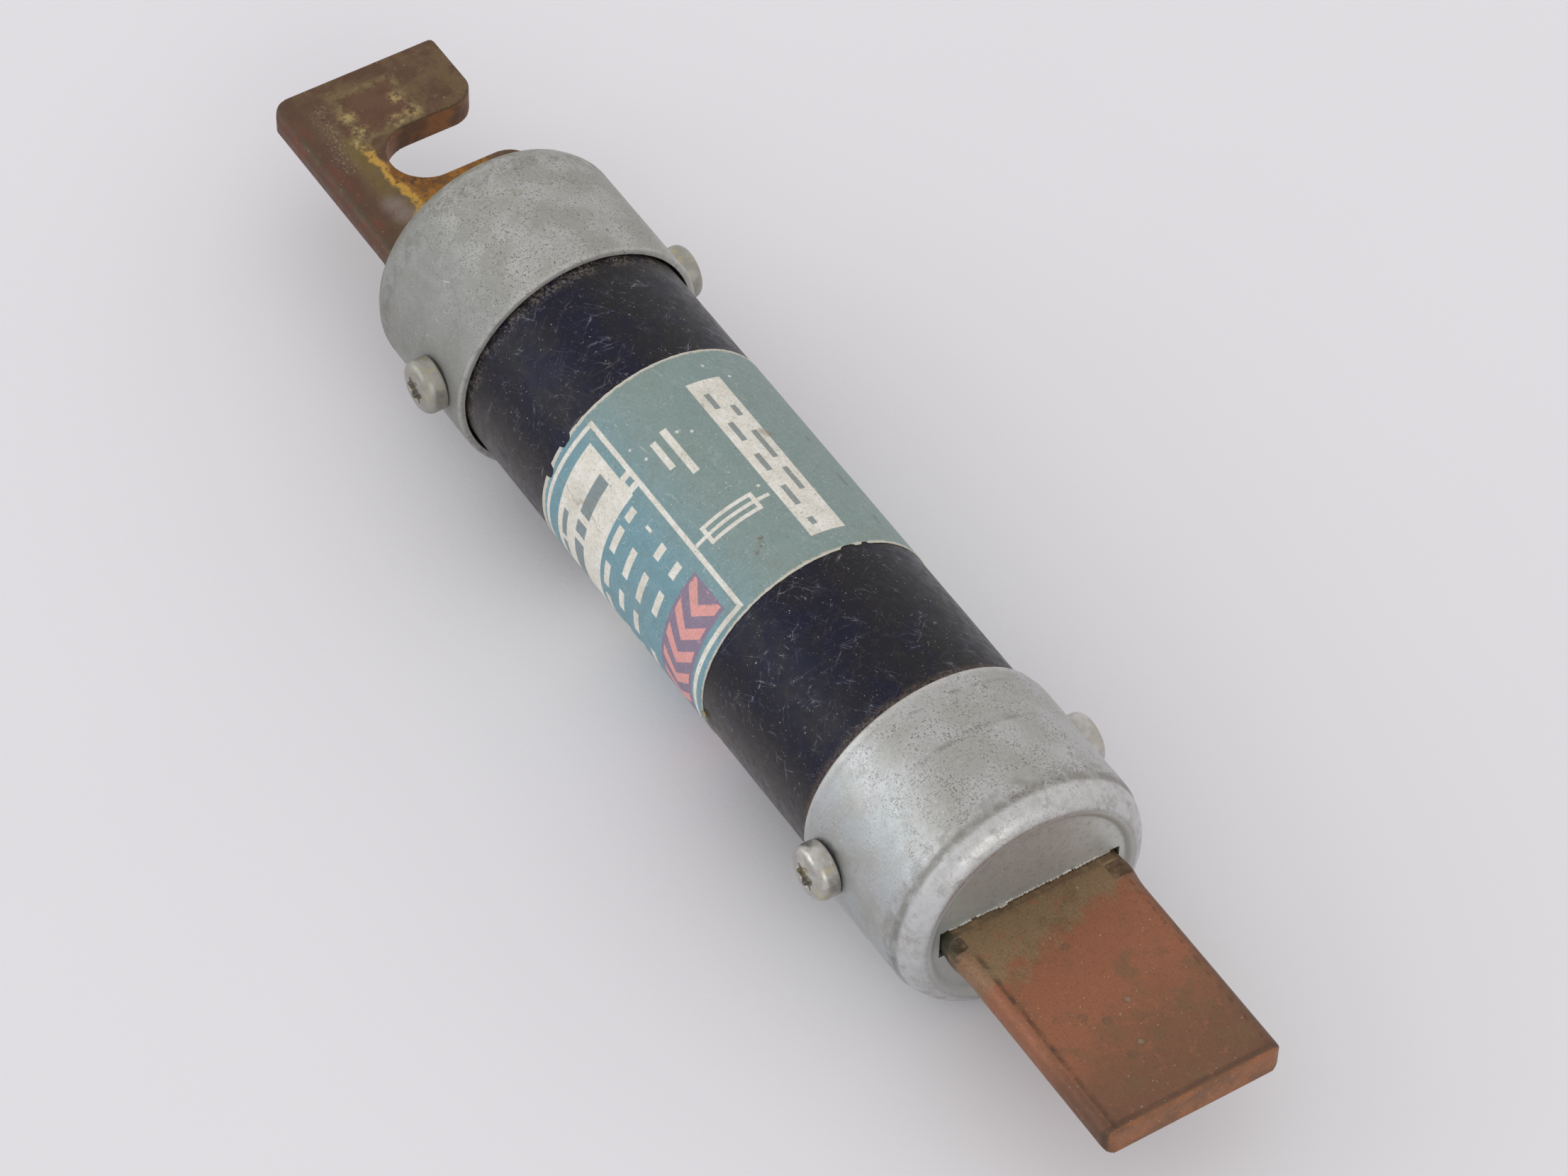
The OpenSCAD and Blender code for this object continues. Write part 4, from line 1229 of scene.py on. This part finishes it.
def make_floor():
    """A wide sheet of pale card under the fuse."""
    shape = bmesh.new()
    bmesh.ops.create_grid(shape, x_segments=24, y_segments=24, size=4.0)
    mesh = bpy.data.meshes.new("floor")
    shape.to_mesh(mesh)
    shape.free()
    floor = bpy.data.objects.new("floor", mesh)
    floor.location.z = -CAP_RADIUS * MM
    bpy.context.scene.collection.objects.link(floor)
    p = Paint("pale_card", 0.0, 0.2)
    p.colour = p.mix(p.noise(0.02, 3), (231, 230, 233), (233, 232, 235))
    coat(floor, p.finish(0.85, p.noise(1.5, 3), 0.02))


# ---- Assembly ------------------------------------------------------------

def build_pieces():
    near_cap = make_cap("plain_end_cap", NEAR_CAP_LOW.x, 1, True, NEAR_SCREW, 4,
        [((38.2, -9.5, 9.5), 3.0, 0.05), ((43.5, 3.0, 13.0), 2.2, 0.06)])
    far_cap = make_cap("slotted_end_cap", FAR_CAP_HIGH.x, -1, False, FAR_SCREW, 9,
        [((-38.0, -10.0, 9.0), 3.5, 0.06), ((-33.0, 6.0, 12.0), 2.5, 0.06)])
    plain = make_blade("plain_blade", 1, plain_plan(), NEAR_END, NEAR_SCREW, 5)
    slotted = make_blade("slotted_blade", -1, slotted_plan(), FAR_END,
        -FAR_SCREW, 6, 0.3)
    coat(near_cap, zinc_material("zinc_near", (187, 187, 186), (172, 171, 166),
        (112, 107, 98), NEAR_END, NEAR_CAP_LOW.x, 0))
    coat(far_cap, zinc_material("zinc_far", (180, 180, 176), (162, 161, 155),
        (100, 95, 84), -FAR_END, FAR_CAP_HIGH.x, 1))
    coat(plain, copper_material())
    coat(slotted, brown_copper_material())
    coat(make_tube(), tube_material())
    coat(make_label(), label_material())
    coat(make_fibres(), soft_material("torn_paper", (214, 200, 160), (176, 158, 118)))
    steel = screw_material()
    coat(make_screws("plain_end_screws", NEAR_SCREW, (0.35, 0.1)), steel)
    coat(make_screws("slotted_end_screws", FAR_SCREW, (0.2, 0.6)), steel)
    coat(make_crumbs(), soft_material("sealant", (226, 225, 218), (172, 167, 156)))
    coat(make_spring(), metal_material("spring_wire", (176, 178, 182), (140, 142, 146), 0.3))


def dress_hidden_nodes():
    """Gives the CAD pieces inside the tube their finish."""
    dress = (
        (soft_material("vulcanised_fibre", (196, 172, 140), (168, 142, 110)),
            ["slotted_end_gasket", "plain_end_gasket", "slotted_side_partition",
            "plain_side_partition", "overload_chamber", "spring_seat"]),
        (metal_material("rolled_copper", (224, 164, 128), (196, 132, 98), 0.32),
            ["slotted_end_link", "plain_end_link", "heat_absorber"]),
        (metal_material("turned_brass", (218, 190, 138), (190, 158, 104), 0.3),
            ["trigger_guide", "trigger_plunger"]),
        (soft_material("quartz_sand", (208, 196, 176), (168, 152, 124), 2.0, 3.0, 0.12),
            ["slotted_end_sand", "plain_end_sand"]),
        (metal_material("solder", (202, 203, 205), (168, 170, 172), 0.4), ["fusing_alloy"]))
    for material, nodes in dress:
        for node in nodes:
            coat(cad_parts[node], material)


make_camera()
make_world()
make_light("window", (-0.55, -0.76, 0.42), 2.2, (1.9, 1.3), 8.6, (0.9, 0.95, 1.0))
make_light("wall", (0.83, -0.2, 0.45), 2.4, (1.4, 1.2), 6, (1.0, 0.99, 0.97))
make_floor()
build_pieces()
dress_hidden_nodes()
bpy.context.scene.view_settings.view_transform = "Standard"
